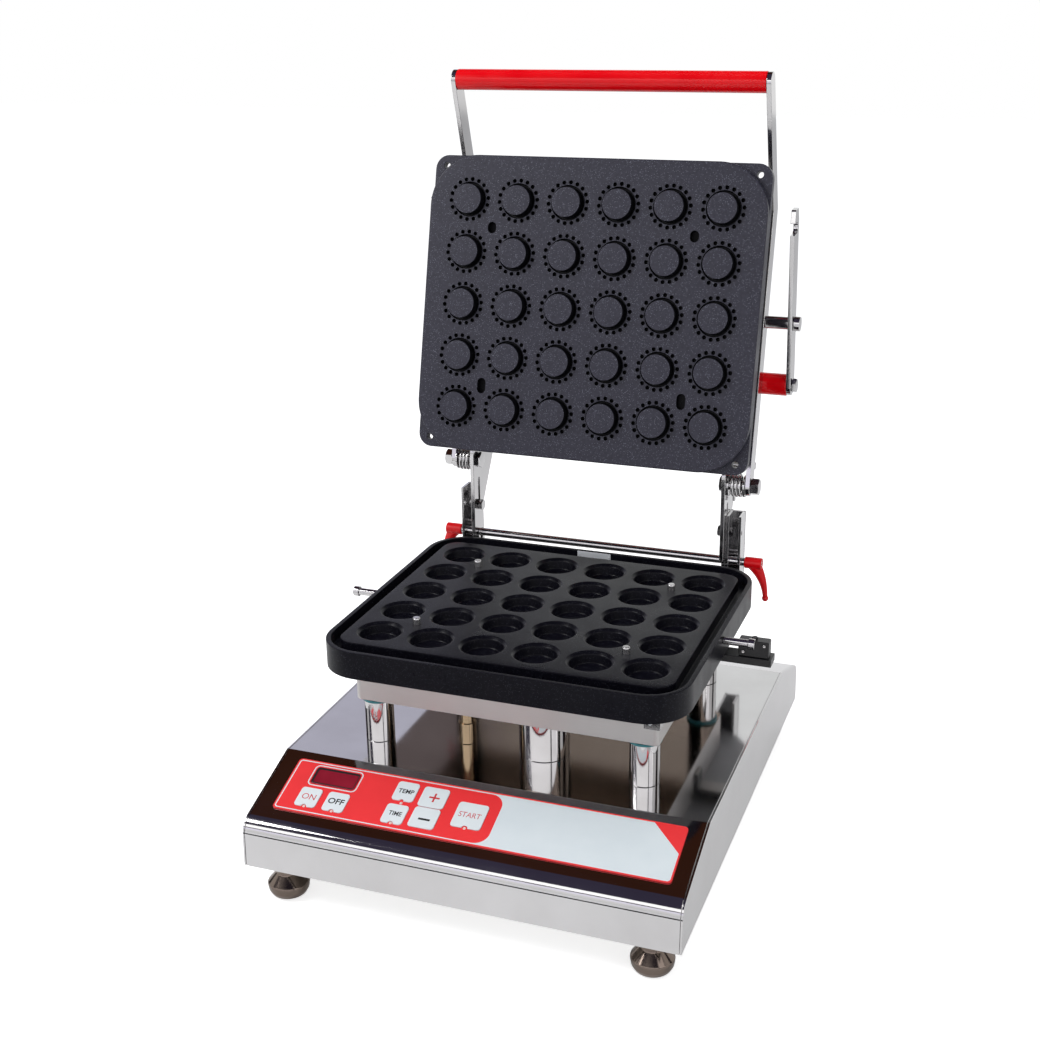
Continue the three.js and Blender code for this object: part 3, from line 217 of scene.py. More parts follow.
def worked(shader, tone=None, gloss=None, relief=None):
    """Lets patterns drive a shader. Tone is a pattern and the colour that it runs from, to the shader's own.
    Gloss is a pattern, the roughness at both ends and where in the pattern the ends lie. Relief is a pattern,
    its strength and its depth in metres."""
    tree = shader.id_data
    if tone:
        pattern, dark = tone
        pale = shader.inputs["Base Color"].default_value[:]
        mixed = add_node(tree, "ShaderNodeMix", {0: pattern, 6: linear(dark), 7: pale}, data_type="RGBA")
        tree.links.new(mixed.outputs[2], shader.inputs["Base Color"])
    if gloss:
        pattern, low, high, *ends = gloss
        start, stop = ends or (0.3, 0.7)
        spread = add_node(tree, "ShaderNodeMapRange", {0: pattern, 1: start, 2: stop, 3: low, 4: high})
        tree.links.new(spread.outputs[0], shader.inputs["Roughness"])
    if relief:
        pattern, strength, depth = relief
        raised = add_node(tree, "ShaderNodeBump", {"Strength": strength, "Distance": depth, "Height": pattern})
        tree.links.new(raised.outputs[0], shader.inputs["Normal"])


def polished_stainless(name, rub=(1, 1, 1), low=0.05, high=0.13, dark="BAB8B8", pale="D6D5D6"):
    """Stainless steel buffed to a mirror: clear reflections, with a faint haze and fine buffing lines."""
    # Haze in clouds of 70 mm, and buffing lines 0.3 mm wide and 20 mm long
    noises = [(14.0, 5.0), ([3000 if share else 50 for share in rub], 3.0)]
    made, shader, _, haze, lines = finish(name, pale, noises, metallic=1.0)
    both = add_node(made.node_tree, "ShaderNodeMath", {0: haze, 1: lines}, operation="MULTIPLY")
    worked(shader, (haze, dark), (both.outputs[0], low, high, 0.1, 0.45), (lines, 0.04, 0.00003))
    return made


def smooth(mesh, angle=32):
    """Rounds the shading, and keeps folds sharper than the angle crisp."""
    for face in mesh.polygons:
        face.use_smooth = True
    mesh.set_sharp_from_angle(angle=math.radians(angle))


def piece(name, mesh, look, body, stands_for=(), place=Matrix.Identity(4), crisp=32, other=None):
    """Puts a mesh drawn in millimetres into the machine, gives it its finish and lets it ride on its body.
    Other is a second finish, and a test on a face's middle and normal that says where it goes."""
    chosen = [face.index for face in mesh.polygons if other and other[1](face.center, face.normal)]
    mesh.transform(MACHINE @ place)
    mesh.materials.clear()
    mesh.materials.append(look)
    if other:
        mesh.materials.append(other[0])
        for index in chosen:
            mesh.polygons[index].material_index = 1
    smooth(mesh, crisp)
    made = set_down(name, mesh)
    # Broad flat faces stay flat in the light, beside their narrow eased edges
    flatten = made.modifiers.new("flat_faces", "WEIGHTED_NORMAL")
    flatten.keep_sharp = True
    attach(made, body)
    if stands_for:
        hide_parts(*stands_for)


def skin(corners, faces):
    """A mesh from its corners and faces, welded, with its faces turned out."""
    mesh = bpy.data.meshes.new("skin")
    mesh.from_pydata([tuple(c) for c in corners], [], faces)
    work = bmesh.new()
    work.from_mesh(mesh)
    bmesh.ops.remove_doubles(work, verts=work.verts, dist=0.0005)
    bmesh.ops.recalc_face_normals(work, faces=work.faces)
    work.to_mesh(mesh)
    work.free()
    return mesh


def ring_faces(rings, count, base=0, first_cap=False, last_cap=False):
    """The faces between rings of corners that follow one another, count corners to a ring, and caps on the
    first and the last ring."""
    faces = [(base + ring * count + i, base + ring * count + (i + 1) % count,
              base + (ring + 1) * count + (i + 1) % count, base + (ring + 1) * count + i)
             for ring in range(rings - 1) for i in range(count)]
    ends = [0] * first_cap + [rings - 1] * last_cap
    return faces + [tuple(range(base + end * count, base + (end + 1) * count)) for end in ends]


def merged(*meshes):
    """Several meshes as one."""
    work = bmesh.new()
    for mesh in meshes:
        work.from_mesh(mesh)
    whole = bpy.data.meshes.new("merged")
    work.to_mesh(whole)
    work.free()
    return whole


def shaped(name, data, *modifiers):
    """The mesh that a curve, a text or a modified mesh comes out as. A modifier is a kind and settings."""
    carrier = set_down(name, data)
    for kind, settings in modifiers:
        modifier = carrier.modifiers.new(name, kind)
        for field, value in settings.items():
            setattr(modifier, field, value)
    shape = bpy.data.meshes.new_from_object(carrier.evaluated_get(bpy.context.evaluated_depsgraph_get()))
    bpy.data.objects.remove(carrier)
    return shape


def cut_plate(outlines, thickness, edge=0.3, steps=2):
    """A plate from an outline and its holes, drawn flat, with its edges broken all round."""
    curve = bpy.data.curves.new("plate", "CURVE")
    curve.dimensions = "2D"
    curve.fill_mode = "BOTH"
    curve.extrude = thickness / 2 - edge
    curve.bevel_depth = edge
    curve.bevel_resolution = steps
    curve.offset = -edge
    for outline in outlines:
        spline = curve.splines.new("POLY")
        spline.points.add(len(outline) - 1)
        for point, (x, y) in zip(spline.points, outline):
            point.co = (x, y, 0, 1)
        spline.use_cyclic_u = True
    shape = shaped("plate", curve)
    return skin([v.co for v in shape.vertices], [tuple(f.vertices) for f in shape.polygons])


def arc(x, y, radius, start, stop, steps):
    """Corners on a circle round a middle, from one angle to another in degrees."""
    turns = [math.radians(start + (stop - start) * i / steps) for i in range(steps + 1)]
    return [(x + radius * math.cos(turn), y + radius * math.sin(turn)) for turn in turns]


def hole(x, y, radius, corners=72):
    """A round hole's outline."""
    return arc(x, y, radius, 0, 360 - 360 / corners, corners - 1)


def side_on(middle):
    """Stands a flat drawing up in the y and z plane, at one place along x."""
    return Matrix(((0, 0, 1, middle), (1, 0, 0, 0), (0, 1, 0, 0), (0, 0, 0, 1)))


def fold_line(inset):
    """The housing's section from its back foot over the top to its front foot. The nose is drawn in and rolled
    into the slope, and the slope meets the top in a crease."""
    half, foot, lean, nose, slope_foot, top, middle = 265.5, 40, 1.5, 14, 90.0, 118.6, -7.5
    roll_height, roll_steps, crease_run, crease_drop = 16, 24, 0.9, 0.3
    first, last = (half - lean, slope_foot - roll_height), (half - nose, slope_foot)
    control = (half - 2 * lean, slope_foot - SLOPE_RISE * 0.16)
    roll_line = []
    for i in range(roll_steps + 1):
        t = i / roll_steps
        roll_line.append(tuple((1 - t) ** 2 * a + 2 * t * (1 - t) * b + t * t * c
                               for a, b, c in zip(first, control, last)))
    slope_head = half - nose - SLOPE_RUN
    crease = [(slope_head + crease_run, top - crease_drop), (slope_head - crease_run, top)]
    rear = [(half, foot), *roll_line, *crease]
    whole = rear + [(-y, z) for y, z in reversed(rear)]
    moved = []
    for i, (y, z) in enumerate(whole):
        before, after = whole[max(i - 1, 0)], whole[min(i + 1, len(whole) - 1)]
        run, rise = after[0] - before[0], after[1] - before[1]
        size = math.hypot(run, rise)
        moved.append((y - rise / size * inset + middle, z + run / size * inset))
    return moved


def folded_sheet(half_width, thickness, ease=0.4):
    """The fold as a solid sheet, its cut edges eased where they meet the cheeks."""
    full, eased_ring = [fold_line(inset) + fold_line(thickness - inset)[::-1] for inset in (0, ease)]
    count = len(full)
    rows = [(-half_width, eased_ring), (ease - half_width, full),
            (half_width - ease, full), (half_width, eased_ring)]
    corners = [(x, y, z) for x, ring in rows for y, z in ring]
    faces = ring_faces(4, count)
    for start in (0, 3 * count):
        faces += [(start + i, start + i + 1, start + count - 2 - i, start + count - 1 - i)
                  for i in range(count // 2 - 1)]
    return skin(corners, faces)


gauge, cheek_x = 2.0, 220.5
mirror_sheet = polished_stainless("polished_stainless_base", rub=(0, 1, 1))
piece("housing_fold", folded_sheet(219.2, gauge), mirror_sheet, "base", ["base_shell"],
      crisp=20)
cheek_sheet = polished_stainless("polished_stainless_cheeks", rub=(1, 0, 1), low=0.08, high=0.18)
for side, sign in SIDES:
    piece(f"cheek_{side}", cut_plate([fold_line(0)], gauge, 0.35), cheek_sheet, "base",
          [f"side_panel_{side}"], side_on(sign * cheek_x))


# Bottom sheet: 2 mm satin stainless steel, cut flat with two rows of vents and screwed up inside the
# housing. It keeps its solid's shape, under a brushed finish.
def satin_stainless(name, grain=(1, 0, 0), low=0.26, high=0.42, dark="A9A6A2", pale="C9C7C4"):
    """Stainless steel brushed one way: soft reflections drawn out across fine straight grain."""
    # Grain lines 0.5 mm wide, drawn three times as coarse as real ones so that they show, and 60 mm long, and
    # stains of 110 mm
    noises = [([17 if along else 2000 for along in grain], 4.0), (9.0, 4.0)]
    made, shader, _, lines, cloud = finish(name, pale, noises, metallic=1.0)
    worked(shader, (cloud, dark), (lines, low, high), (lines, 0.12, 0.00004))
    return made


def dress(node, look):
    """Gives a node of the solid part its finish and leaves its shape as it is."""
    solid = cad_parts[node]
    solid.data.materials.clear()
    solid.data.materials.append(look)
    smooth(solid.data)


dress("base_plate", satin_stainless("satin_stainless_bottom"))


# Electronics inside the base: a circuit board of glass-fibre laminate under green lacquer, a mains
# transformer of stacked sheets with its winding, and a screw terminal block moulded in black nylon.
lacquer, shader, spot = finish("green_solder_lacquer", "1F6E3D", roughness=0.35, IOR=1.5)
# Copper tracks 2.3 mm apart under the lacquer, joined every 4.5 mm
tracks = add_node(lacquer.node_tree, "ShaderNodeTexBrick", {
    "Vector": spot, "Scale": 110.0, "Mortar Size": 0.06, "Color1": linear("1B5E33"), "Color2": linear("1F6E3D"),
    "Mortar": linear("3E9A5C")}, offset=0.35, squash=1.4)
lacquer.node_tree.links.new(tracks.outputs["Color"], shader.inputs["Base Color"])
worked(shader, relief=(tracks.outputs["Fac"], 0.3, 0.0001))
dress("control_board", lacquer)
# Sheets 0.5 mm thick, drawn 2 mm apart so that they show, with varnish pooled over them in patches of 17 mm
core, shader, spot, pool = finish("laminated_core", "77655A", [(60.0, 3.0)], metallic=0.7, roughness=0.5)
sheets = add_node(core.node_tree, "ShaderNodeTexWave", {"Vector": spot, "Scale": 160.0, "Distortion": 0.6},
                  bands_direction="Z")
tone = add_node(core.node_tree, "ShaderNodeMix",
                {0: sheets.outputs["Fac"], 6: linear("43342B"), 7: linear("77655A")}, data_type="RGBA")
brown = add_node(core.node_tree, "ShaderNodeMix", {0: pool, 6: tone.outputs[2], 7: linear("6B3F22")},
                 data_type="RGBA")
core.node_tree.links.new(brown.outputs[2], shader.inputs["Base Color"])
worked(shader, relief=(sheets.outputs["Fac"], 0.4, 0.0002))
dress("transformer", core)


def moulded_black(name, roughness=0.42, grain_mm=0.7):
    """Glass-filled black plastic from a mould: a dull sheen over a fine spark-eroded grain, and flow marks of
    17 mm."""
    noises = [(1000 / grain_mm, 3.0), (60.0, 3.0)]
    made, shader, _, grain, cloud = finish(name, "1E1E21", noises, IOR=1.5)
    worked(shader, (cloud, "121214"), (grain, roughness - 0.08, roughness + 0.1), (grain, 0.25, 0.00008))
    return made


nylon = moulded_black("black_nylon")
dress("terminal_block", nylon)


# Feet: turned steel bowls on a short threaded neck that screws up into the base, one near each corner,
# with a black rubber pad let into the underside.
def eased(profile, radius, steps=3):
    """The profile with its inner corners rounded."""
    made = [profile[0]]
    for before, corner, after in zip(profile, profile[1:], profile[2:]):
        p, q, r = Vector(before), Vector(corner), Vector(after)
        reach = min(radius, (p - q).length * 0.45, (r - q).length * 0.45)
        first, last = q + (p - q).normalized() * reach, q + (r - q).normalized() * reach
        for i in range(steps + 1):
            t = i / steps
            made.append(tuple(first * (1 - t) ** 2 + q * 2 * t * (1 - t) + last * t * t))
    made.append(profile[-1])
    return made


def about_axis(rings, axis):
    """The corners of rings about an axis, each ring a list of radii and heights all the way round."""
    corners = []
    for ring in rings:
        for i, (radius, height) in enumerate(ring):
            angle = 2 * math.pi * i / len(ring)
            a, b = radius * math.cos(angle), radius * math.sin(angle)
            corners.append({"Z": (a, b, height), "X": (height, a, b), "Y": (a, height, b)}[axis])
    return corners


def turned(profile, steps, axis="Z", ease=0.0, sign=1):
    """A profile of radius and height turned about an axis, flat at an end that isn't on the axis, its corners
    eased by a radius. Sign -1 points its heights the other way."""
    first, last = ([(0, height)] if radius > 0.001 else [] for radius, height in (profile[0], profile[-1]))
    line = [*first, *profile, *last]
    line = eased(line, ease) if ease else line
    corners = about_axis([[(radius, sign * height)] * steps for radius, height in line], axis)
    return skin(corners, ring_faces(len(line), steps))


foot_x, foot_ends = 188, (("front", -247), ("rear", 232))
bowl_profile = [(12, 1.2), (13.2, 0.6), (14, 0.6), (17.8, 3), (20.2, 7.5), (21, 13.4), (20.6, 15),
                (11.6, 25.4), (11, 27), (11, 38.7), (16, 38.7), (16, 41.7)]
pad_profile = [(11.6, 0), (11.6, 1.1)]
# Their steel is duller than the mirror-bright sheet, and painted browner and darker as a painted reflection of
# dark surroundings
foot_steel_painted_dark = polished_stainless("turned_steel_feet_painted_dark", low=0.1, high=0.2, dark="5A4F4A", pale="877A70")
# Moulded grain of half a millimetre
pad_rubber, shader, _, grain = finish("moulded_rubber", "1B1B1C", [(2000.0, 2.0)], roughness=0.8)
worked(shader, relief=(grain, 0.3, 0.0001))
for end, y in foot_ends:
    for side, sign in SIDES:
        here = shift(sign * foot_x, y, 0)
        piece(f"bowl_foot_{end}_{side}", turned(bowl_profile, 64, ease=0.8), foot_steel_painted_dark, "base",
              [f"foot_{end}_{side}"], here)
        piece(f"foot_pad_{end}_{side}", turned(pad_profile, 40, ease=0.3), pad_rubber, "base",
              place=here)


# Power gland: a moulded black nylon gland screwed through the back wall, with its hexagon lock nut and a
# rounded dome with a hole for the cord.
def hexagon(across, low, high, axis="Z", sign=1, steps=60):
    """A nut or bolt head, 30 degrees off its corners at both ends."""
    low, high = sorted((sign * low, sign * high))
    half = across / 2
    chamfer = half * 0.97
    rows = []
    for i in range(steps):
        angle = 2 * math.pi * i / steps
        flat = half / math.cos((angle + math.pi / 6) % (math.pi / 3) - math.pi / 6)
        drop = (flat - chamfer) * math.tan(math.radians(30))
        rows.append([(0, low), (chamfer, low), (flat, low + drop),
                     (flat, high - drop), (chamfer, high), (0, high)])
    return skin(about_axis(zip(*rows), axis), ring_faces(6, steps))


dome_profile = [(8, -8), (8, 6.3), (9, 6.3), (8.9, 14), (6.6, 19.8), (4.2, 19.8), (4.2, 12)]
gland = merged(turned(dome_profile, 48, "Y", 0.9), hexagon(20.8, 0.3, 6.3, "Y"))
piece("gland", gland, nylon, "base", ["power_gland"], shift(150, 258, 57))


# Key panel: polyester foil glued on the slope, printed red and white from behind, with a dark red
# display window and seven white keys that give half a millimetre over their snap domes.
PANEL = shift(0, -259, 90) @ Matrix.Rotation(math.atan2(SLOPE_RISE, SLOPE_RUN), 4, "X")


def rounded_box(left, right, low, high, radius, steps=8):
    """A rectangle with round corners, from its upper right corner round to its lower right."""
    return (arc(right - radius, high - radius, radius, 0, 90, steps)
            + arc(left + radius, high - radius, radius, 90, 180, steps)
            + arc(left + radius, low + radius, radius, 180, 270, steps)
            + arc(right - radius, low + radius, radius, 270, 360, steps))


def key_outline(x, s, width, height, bite=0.0, grow=0.0):
    """A key with round corners, and a bite in its lower edge where a lamp shows."""
    low = s - height / 2 - grow
    line = rounded_box(x - width / 2 - grow, x + width / 2 + grow, low, s + height / 2 + grow, 3.5 + grow, 6)
    if not bite:
        return line
    notch = [(a, 2 * low - b) for a, b in arc(x, low, bite - grow, 180, 360, 10)]
    lower_edge = 3 * 7  # after three corners of seven points
    return line[:lower_edge] + notch + line[lower_edge:]


def foil(name, colour, dark, roughness):
    """Printed polyester foil: even ink with clouds of 25 mm, under a velvet grain of a quarter millimetre,
    slightly glossy."""
    noises = [(4000.0, 2.0), (40.0, 4.0)]
    made, shader, _, grain, ink = finish(name, colour, noises, roughness=roughness, IOR=1.5)
    worked(shader, (ink, dark), relief=(grain, 0.15, 0.00003))
    return made


def lettering(words, x, s, height, width, weight=0.0):
    """Printed words as flat shapes, fitted to a height and a width."""
    text = bpy.data.curves.new("print", "FONT")
    text.body = words
    text.offset = weight
    text.extrude = 0.004
    text.resolution_u = 4
    shape = shaped("print", text)
    across = [v.co.x for v in shape.vertices]
    along = [v.co.y for v in shape.vertices]
    middle = Vector(((min(across) + max(across)) / 2, (min(along) + max(along)) / 2, 0))
    scale = Matrix.Diagonal((width / (max(across) - min(across)), height / (max(along) - min(along)), 1, 1))
    shape.transform(shift(x, s, 0) @ scale @ Matrix.Translation(-middle))
    return shape


red_foil = foil("printed_foil_red", "FF3337", "F22C31", 0.42)
white_foil = foil("printed_foil_white", "E6EEF2", "DCE6EB", 0.42)
key_foil = foil("key_foil_white", "EEF3F6", "E0E9EE", 0.38)
red_ink = foil("printed_ink_red", "D8323A", "C42A33", 0.45)
black_ink = foil("printed_ink_black", "202226", "15171A", 0.45)
ink_depth, key_gap = 0.03, 0.15
# Pieces on the panel are drawn flat, and placed at a height above the slope.
# Each key's name, its place across and up the slope, its width, height and bite
keys = [
    ("on", -169.0, 31.6, 22.7, 24.0, 2.9),
    ("off", -139.1, 31.6, 22.7, 24.0, 2.9),
    ("temperature", -75.5, 59.7, 22.7, 24.0, 2.2),
    ("time", -75.5, 30.8, 22.7, 24.0, 2.9),
    ("plus", -45.2, 58.4, 26.9, 25.0, 0.0),
    ("minus", -45.2, 32.6, 26.9, 25.0, 0.0),
    ("start", -2.5, 44.9, 30.9, 30.8, 3.1),
]
display_hole = rounded_box(-176.95, -128.05, 49.5, 71.5, 3.5)
key_holes = [key_outline(*key, key_gap) for _, *key in keys]
foil_sheet = cut_plate([rounded_box(-200.5, 204, 12, 78.5, 4), *key_holes, display_hole], 0.96, 0.12)
piece("foil", foil_sheet, red_foil, "base", ["control_overlay"], PANEL @ shift(0, 0, 0.82))
# The white print leaves out a round-ended red part at the left and a red corner at the right, and a white line
# runs round the display
white_outline = (arc(-195.7, 16.8, 3.2, 180, 270, 6) + arc(199.2, 16.8, 3.2, 270, 360, 6)
                 + [(202.4, 46.0), (171.5, 76.9)] + arc(-195.7, 73.7, 3.2, 90, 180, 6))
left_corners = rounded_box(-197.7, -150, 14.8, 75.7, 2.4)[9:27]  # the second and third, of nine points each
red_part = left_corners + arc(10, 28.8, 14, 270, 360, 10) + arc(10, 61.7, 14, 0, 90, 10)
print_layer = cut_plate([white_outline, red_part], ink_depth, 0.0)
display_line = cut_plate([rounded_box(-179.3, -125.7, 47.1, 73.9, 5.4),
                          rounded_box(-178.1, -126.9, 48.3, 72.7, 4.4)], ink_depth, 0.0)
piece("white_print", merged(print_layer, display_line), white_foil, "base",
      place=PANEL @ shift(0, 0, 1.32))
for name, *key in keys:
    piece(f"key_pad_{name}", cut_plate([key_outline(*key)], 1.5, 0.45, 3), key_foil, f"key_{name}",
          [f"key_{name}"], PANEL @ shift(0, 0, 1.45))
for name, shape, ink in (
        ("on", lettering("ON", -168.7, 32.2, 7.0, 14.5), red_ink),
        ("off", lettering("OFF", -138.9, 32.4, 7.0, 17.0, 0.02), black_ink),
        ("temperature", lettering("TEMP", -75.0, 59.9, 5.2, 16.5, 0.02), black_ink),
        ("time", lettering("TIME", -75.0, 31.4, 5.2, 13.5, 0.02), black_ink),
        ("plus", lettering("+", -44.4, 58.2, 11.0, 11.0), red_ink),
        ("minus", lettering("-", -44.4, 30.6, 2.3, 12.0), black_ink),
        ("start", lettering("START", -2.5, 45.4, 6.2, 22.5), red_ink)):
    piece(f"print_{name}", shape, ink, f"key_{name}", place=PANEL @ shift(0, 0, 2.21))

# Small lamps in the bites of the keys: a low lens of cloudy acrylic, mottled at about 1 mm
lens, shader, _, milk = finish("lamp_lens", "EBC4BA", [(900.0, 2.0)], roughness=0.15, IOR=1.49)
worked(shader, (milk, "F9EDE8"))
lens_profile = [(1.5, 0), (1.5, 0.15), (1.1, 0.25), (0.9, 0.55), (0.5, 0.75), (0, 0.8)]
for name, x, s in (("on", -168.8, 20.2), ("off", -138.8, 20.2), ("temperature", -74.8, 45.3),
                   ("time", -75.2, 19.6), ("start", -2.3, 29.6)):
    piece(f"key_lamp_{name}", turned(lens_profile, 24), lens, "base", place=PANEL @ shift(x, s, 1.3))

# Display window: smoked red acrylic with swirls of 33 mm, bevelled, a little proud of the foil
acrylic, shader, _, swirl = finish("smoked_red_acrylic", "A8263C", [(30.0, 2.0)], IOR=1.49,
                                   **{"Coat Weight": 0.6, "Coat Roughness": 0.05})
worked(shader, (swirl, "7A1527"), (swirl, 0.08, 0.2))
window = cut_plate([rounded_box(-176.7, -128.3, 49.75, 71.25, 3.2)], 1.5, 0.5, 3)
piece("display_glass", window, acrylic, "base", ["display_window"], PANEL @ shift(0, 0, 1.05))
# A black band on the window, wider at the top and the left, is painted shade where the window's edge shades the
# display
window_painted_shade = cut_plate([rounded_box(-175.9, -129.1, 50.5, 70.5, 2.6), rounded_box(-173.6, -129.9, 51.6, 68.2, 1.6)],
                  ink_depth, 0.0)
piece("display_painted_shade", window_painted_shade, moulded_black("display_painted_shade_black"), "base",
      place=PANEL @ shift(0, 0, 1.815))


# Columns: four polished steel posts and a thicker one in the middle hold the hot plate 48 mm above the
# base, each outer one under a washer of glass-fibre laminate that keeps the heat back. A thin tube beside
# them leads the sensor's wires up; its steel is painted bronze, a painted reflection of brown surroundings.
deck, post_top, washer_foot, box_foot = 118.9, 163.6, 163.7, 166.2
post_steel = polished_stainless("polished_stainless_posts", low=0.04, high=0.1)
# Cloth with threads of 0.6 mm
laminate, shader, _, cloth = finish("glass_fibre_laminate", "419AA3", [(1600.0, 1.0)], roughness=0.42, IOR=1.5)
worked(shader, (cloth, "23686F"), relief=(cloth, 0.2, 0.00005))
post_profile = [(15, deck), (15, post_top)]
washer_profile = [(17, washer_foot), (17, box_foot)]
for end, y in (("front", -119), ("rear", 115)):
    for side, sign in SIDES:
        here = shift(sign * 142, y, 0)
        piece(f"post_{end}_{side}", turned(post_profile, 72, ease=0.5), post_steel, "base",
              [f"column_{end}_{side}"], here)
        piece(f"post_washer_{end}_{side}", turned(washer_profile, 72, ease=0.4), laminate, "base",
              place=here)
wide_post = turned([(26, deck), (26, box_foot)], 96, ease=0.5)
piece("post_centre", wide_post, post_steel, "base", ["column_centre"], shift(30, -94, 0))
tube_profile = [(9, deck), (9, 141.6), (7.5, 141.6), (7.5, box_foot)]
# Its bronze colour is a painted reflection of the brown surroundings
tube_steel_painted_bronze = polished_stainless("tube_painted_bronze_reflection", low=0.1, high=0.2, dark="8F7B64", pale="B7A284")
piece("sensor_tube", turned(tube_profile, 56, ease=0.5), tube_steel_painted_bronze, "base",
      ["sensor_conduit"], shift(-52, -100, 0))


# Heater box: a pan folded from 2 mm stainless steel, brushed outside, on the posts under the hot plate. A
# cast aluminium heating plate lies in it.
def soft_box(half_x, half_y, radius, inset=0.0, steps=7):
    """A rectangle with round corners about the middle."""
    return rounded_box(inset - half_x, half_x - inset, inset - half_y, half_y - inset, radius - inset, steps)


def pan(half_x, half_y, radius, low, high, wall, edge=0.5):
    """A pan with an open top, its folds eased outside and inside."""
    lip = 0.3
    rows = [(edge, low), (edge * 0.3, low + edge * 0.3), (0, low + edge), (0, high - lip), (lip, high),
            (wall - lip, high), (wall, high - lip), (wall, low + wall + edge), (wall + edge, low + wall)]
    corners = [(x, y, height) for inset, height in rows for x, y in soft_box(half_x, half_y, radius, inset)]
    count = len(corners) // len(rows)
    return skin(corners, ring_faces(len(rows), count, first_cap=True, last_cap=True))


box_steel = satin_stainless("satin_stainless_box", low=0.42, high=0.54, dark="B4B1B0", pale="D2CFCD")
# Heat has tinted the bottom bronze
box_bottom = polished_stainless("polished_stainless_box_bottom", low=0.08, high=0.14, dark="8E7D6F",
                                pale="AE9F92")
piece("heater_pan", pan(160, 135.5, 6, 166.5, 205.7, gauge), box_steel, "base",
      ["lower_heater_box"], other=(box_bottom, lambda middle, normal: normal.z < -0.9 and middle.z < 167))

# Sand grain of 0.8 mm
cast, shader, _, sand = finish("cast_aluminium", "B5B6B8", [(1250.0, 3.0)], metallic=1.0, roughness=0.5)
worked(shader, (sand, "8A8B8D"), relief=(sand, 0.5, 0.0002))
dress("lower_heater", cast)


# Corner clip and drain nozzle: a steel angle clip with two screws on the box's front right corner, and a
# small nozzle of bright steel under the tray's front left corner.
clip_steel = polished_stainless("polished_stainless_clips", low=0.08, high=0.16)
leg, thin = 16, 1.2
clip = cut_plate([[(-leg, 0), (-leg, thin), (-thin, thin), (-thin, leg), (0, leg), (0, 0)]], 15, 0.25)
clip.transform(shift(161.6, -137.1, 192))
clip_parts = [clip]
for x, y, turn in ((152, -136.9, 0), (161.4, -127.5, math.pi / 2)):
    screw = turned([(3, 0.4), (3, -0.6), (2.4, -1.3), (1.1, -1.5)], 28, "Y")
    screw.transform(shift(x, y, 192) @ Matrix.Rotation(turn, 4, "Z"))
    clip_parts.append(screw)
piece("corner_clip", merged(*clip_parts), clip_steel, "base")
nozzle_profile = [(4.5, 197.5), (5.5, 199.5), (5.5, 201.5), (7, 201.5), (7, 206.05)]
piece("drain_nozzle", turned(nozzle_profile, 40, ease=0.5), clip_steel, "base",
      place=shift(-176, -137, 0))


# Lower plate: cast aluminium with a black non-stick coating. Thirty cups sit in a raised block, a moat
# round it catches the fat, and four ground steel pins guide the upper plate.
PITCH, COLUMNS, ROWS = 56, 6, 5
RAYS = 72


def baked_coating(name, dark, pale, roughness, fleck, sheen=0.5):
    """Non-stick coating baked on sprayed metal: fine orange peel of 3 mm with tiny mineral flecks, and a gloss
    that varies over 40 mm."""
    noises = [(330.0, 6.0), (25.0, 4.0)]
    made, shader, spot, peel, cloud = finish(name, dark, noises, IOR=1.37, **{"Specular IOR Level": sheen})
    tree = made.node_tree
    # Flecks 0.6 mm across in a fifth of the cells, drawn three times as large as real ones so that they show
    cells = add_node(tree, "ShaderNodeTexVoronoi", {"Vector": spot, "Scale": 1050.0})
    split = add_node(tree, "ShaderNodeSeparateColor", {0: cells.outputs["Color"]})
    near = add_node(tree, "ShaderNodeMath", {0: cells.outputs["Distance"], 1: 0.34}, operation="LESS_THAN")
    rare = add_node(tree, "ShaderNodeMath", {0: split.outputs[0], 1: 0.8}, operation="GREATER_THAN")
    shine = add_node(tree, "ShaderNodeMath", {0: near.outputs[0], 1: rare.outputs[0]}, operation="MULTIPLY")
    amount = add_node(tree, "ShaderNodeMath", {0: shine.outputs[0], 1: fleck}, operation="MULTIPLY")
    tone = add_node(tree, "ShaderNodeMix", {0: peel, 6: linear(dark), 7: linear(pale)}, data_type="RGBA")
    bright = add_node(tree, "ShaderNodeMix", {0: amount.outputs[0], 6: tone.outputs[2], 7: linear("9FA3B4")},
                      data_type="RGBA")
    tree.links.new(bright.outputs[2], shader.inputs["Base Color"])
    worked(shader, gloss=(cloud, roughness - 0.05, roughness + 0.07), relief=(peel, 0.2, 0.0001))
    return made


def grid_edge():
    """The corners along the edge of the grid of cells, where rays 5 degrees apart from each middle end."""
    def side(count):
        return [(cell - (count - 1) / 2 + 0.5 * math.tan(math.radians(5 * ray))) * PITCH
                for cell in range(count) for ray in range(-9, 9)]
    across, along = side(COLUMNS), side(ROWS)
    half_x, half_y = COLUMNS * PITCH / 2, ROWS * PITCH / 2
    return ([(x, -half_y) for x in across] + [(half_x, y) for y in along]
            + [(-x, half_y) for x in across] + [(-half_x, -y) for y in along])


def drawn_out(ring, half_x, half_y, corner):
    """A grid's edge moved out to a rectangle with round corners."""
    made = []
    for x, y in ring:
        core = Vector((max(corner - half_x, min(half_x - corner, x)),
                       max(corner - half_y, min(half_y - corner, y))))
        made.append(tuple(core + (Vector((x, y)) - core).normalized() * corner))
    return made


def round_rings(profile):
    """Rings of corners round a middle, each at a radius and height. No radius means the edge of the cell."""
    made = []
    for radius, height in profile:
        ring = []
        for i in range(RAYS):
            angle = math.radians(45 + 5 * i)
            reach = radius or PITCH / 2 / max(abs(math.cos(angle)), abs(math.sin(angle)))
            ring.append((reach * math.cos(angle), reach * math.sin(angle), height))
        made.append(ring)
    return made


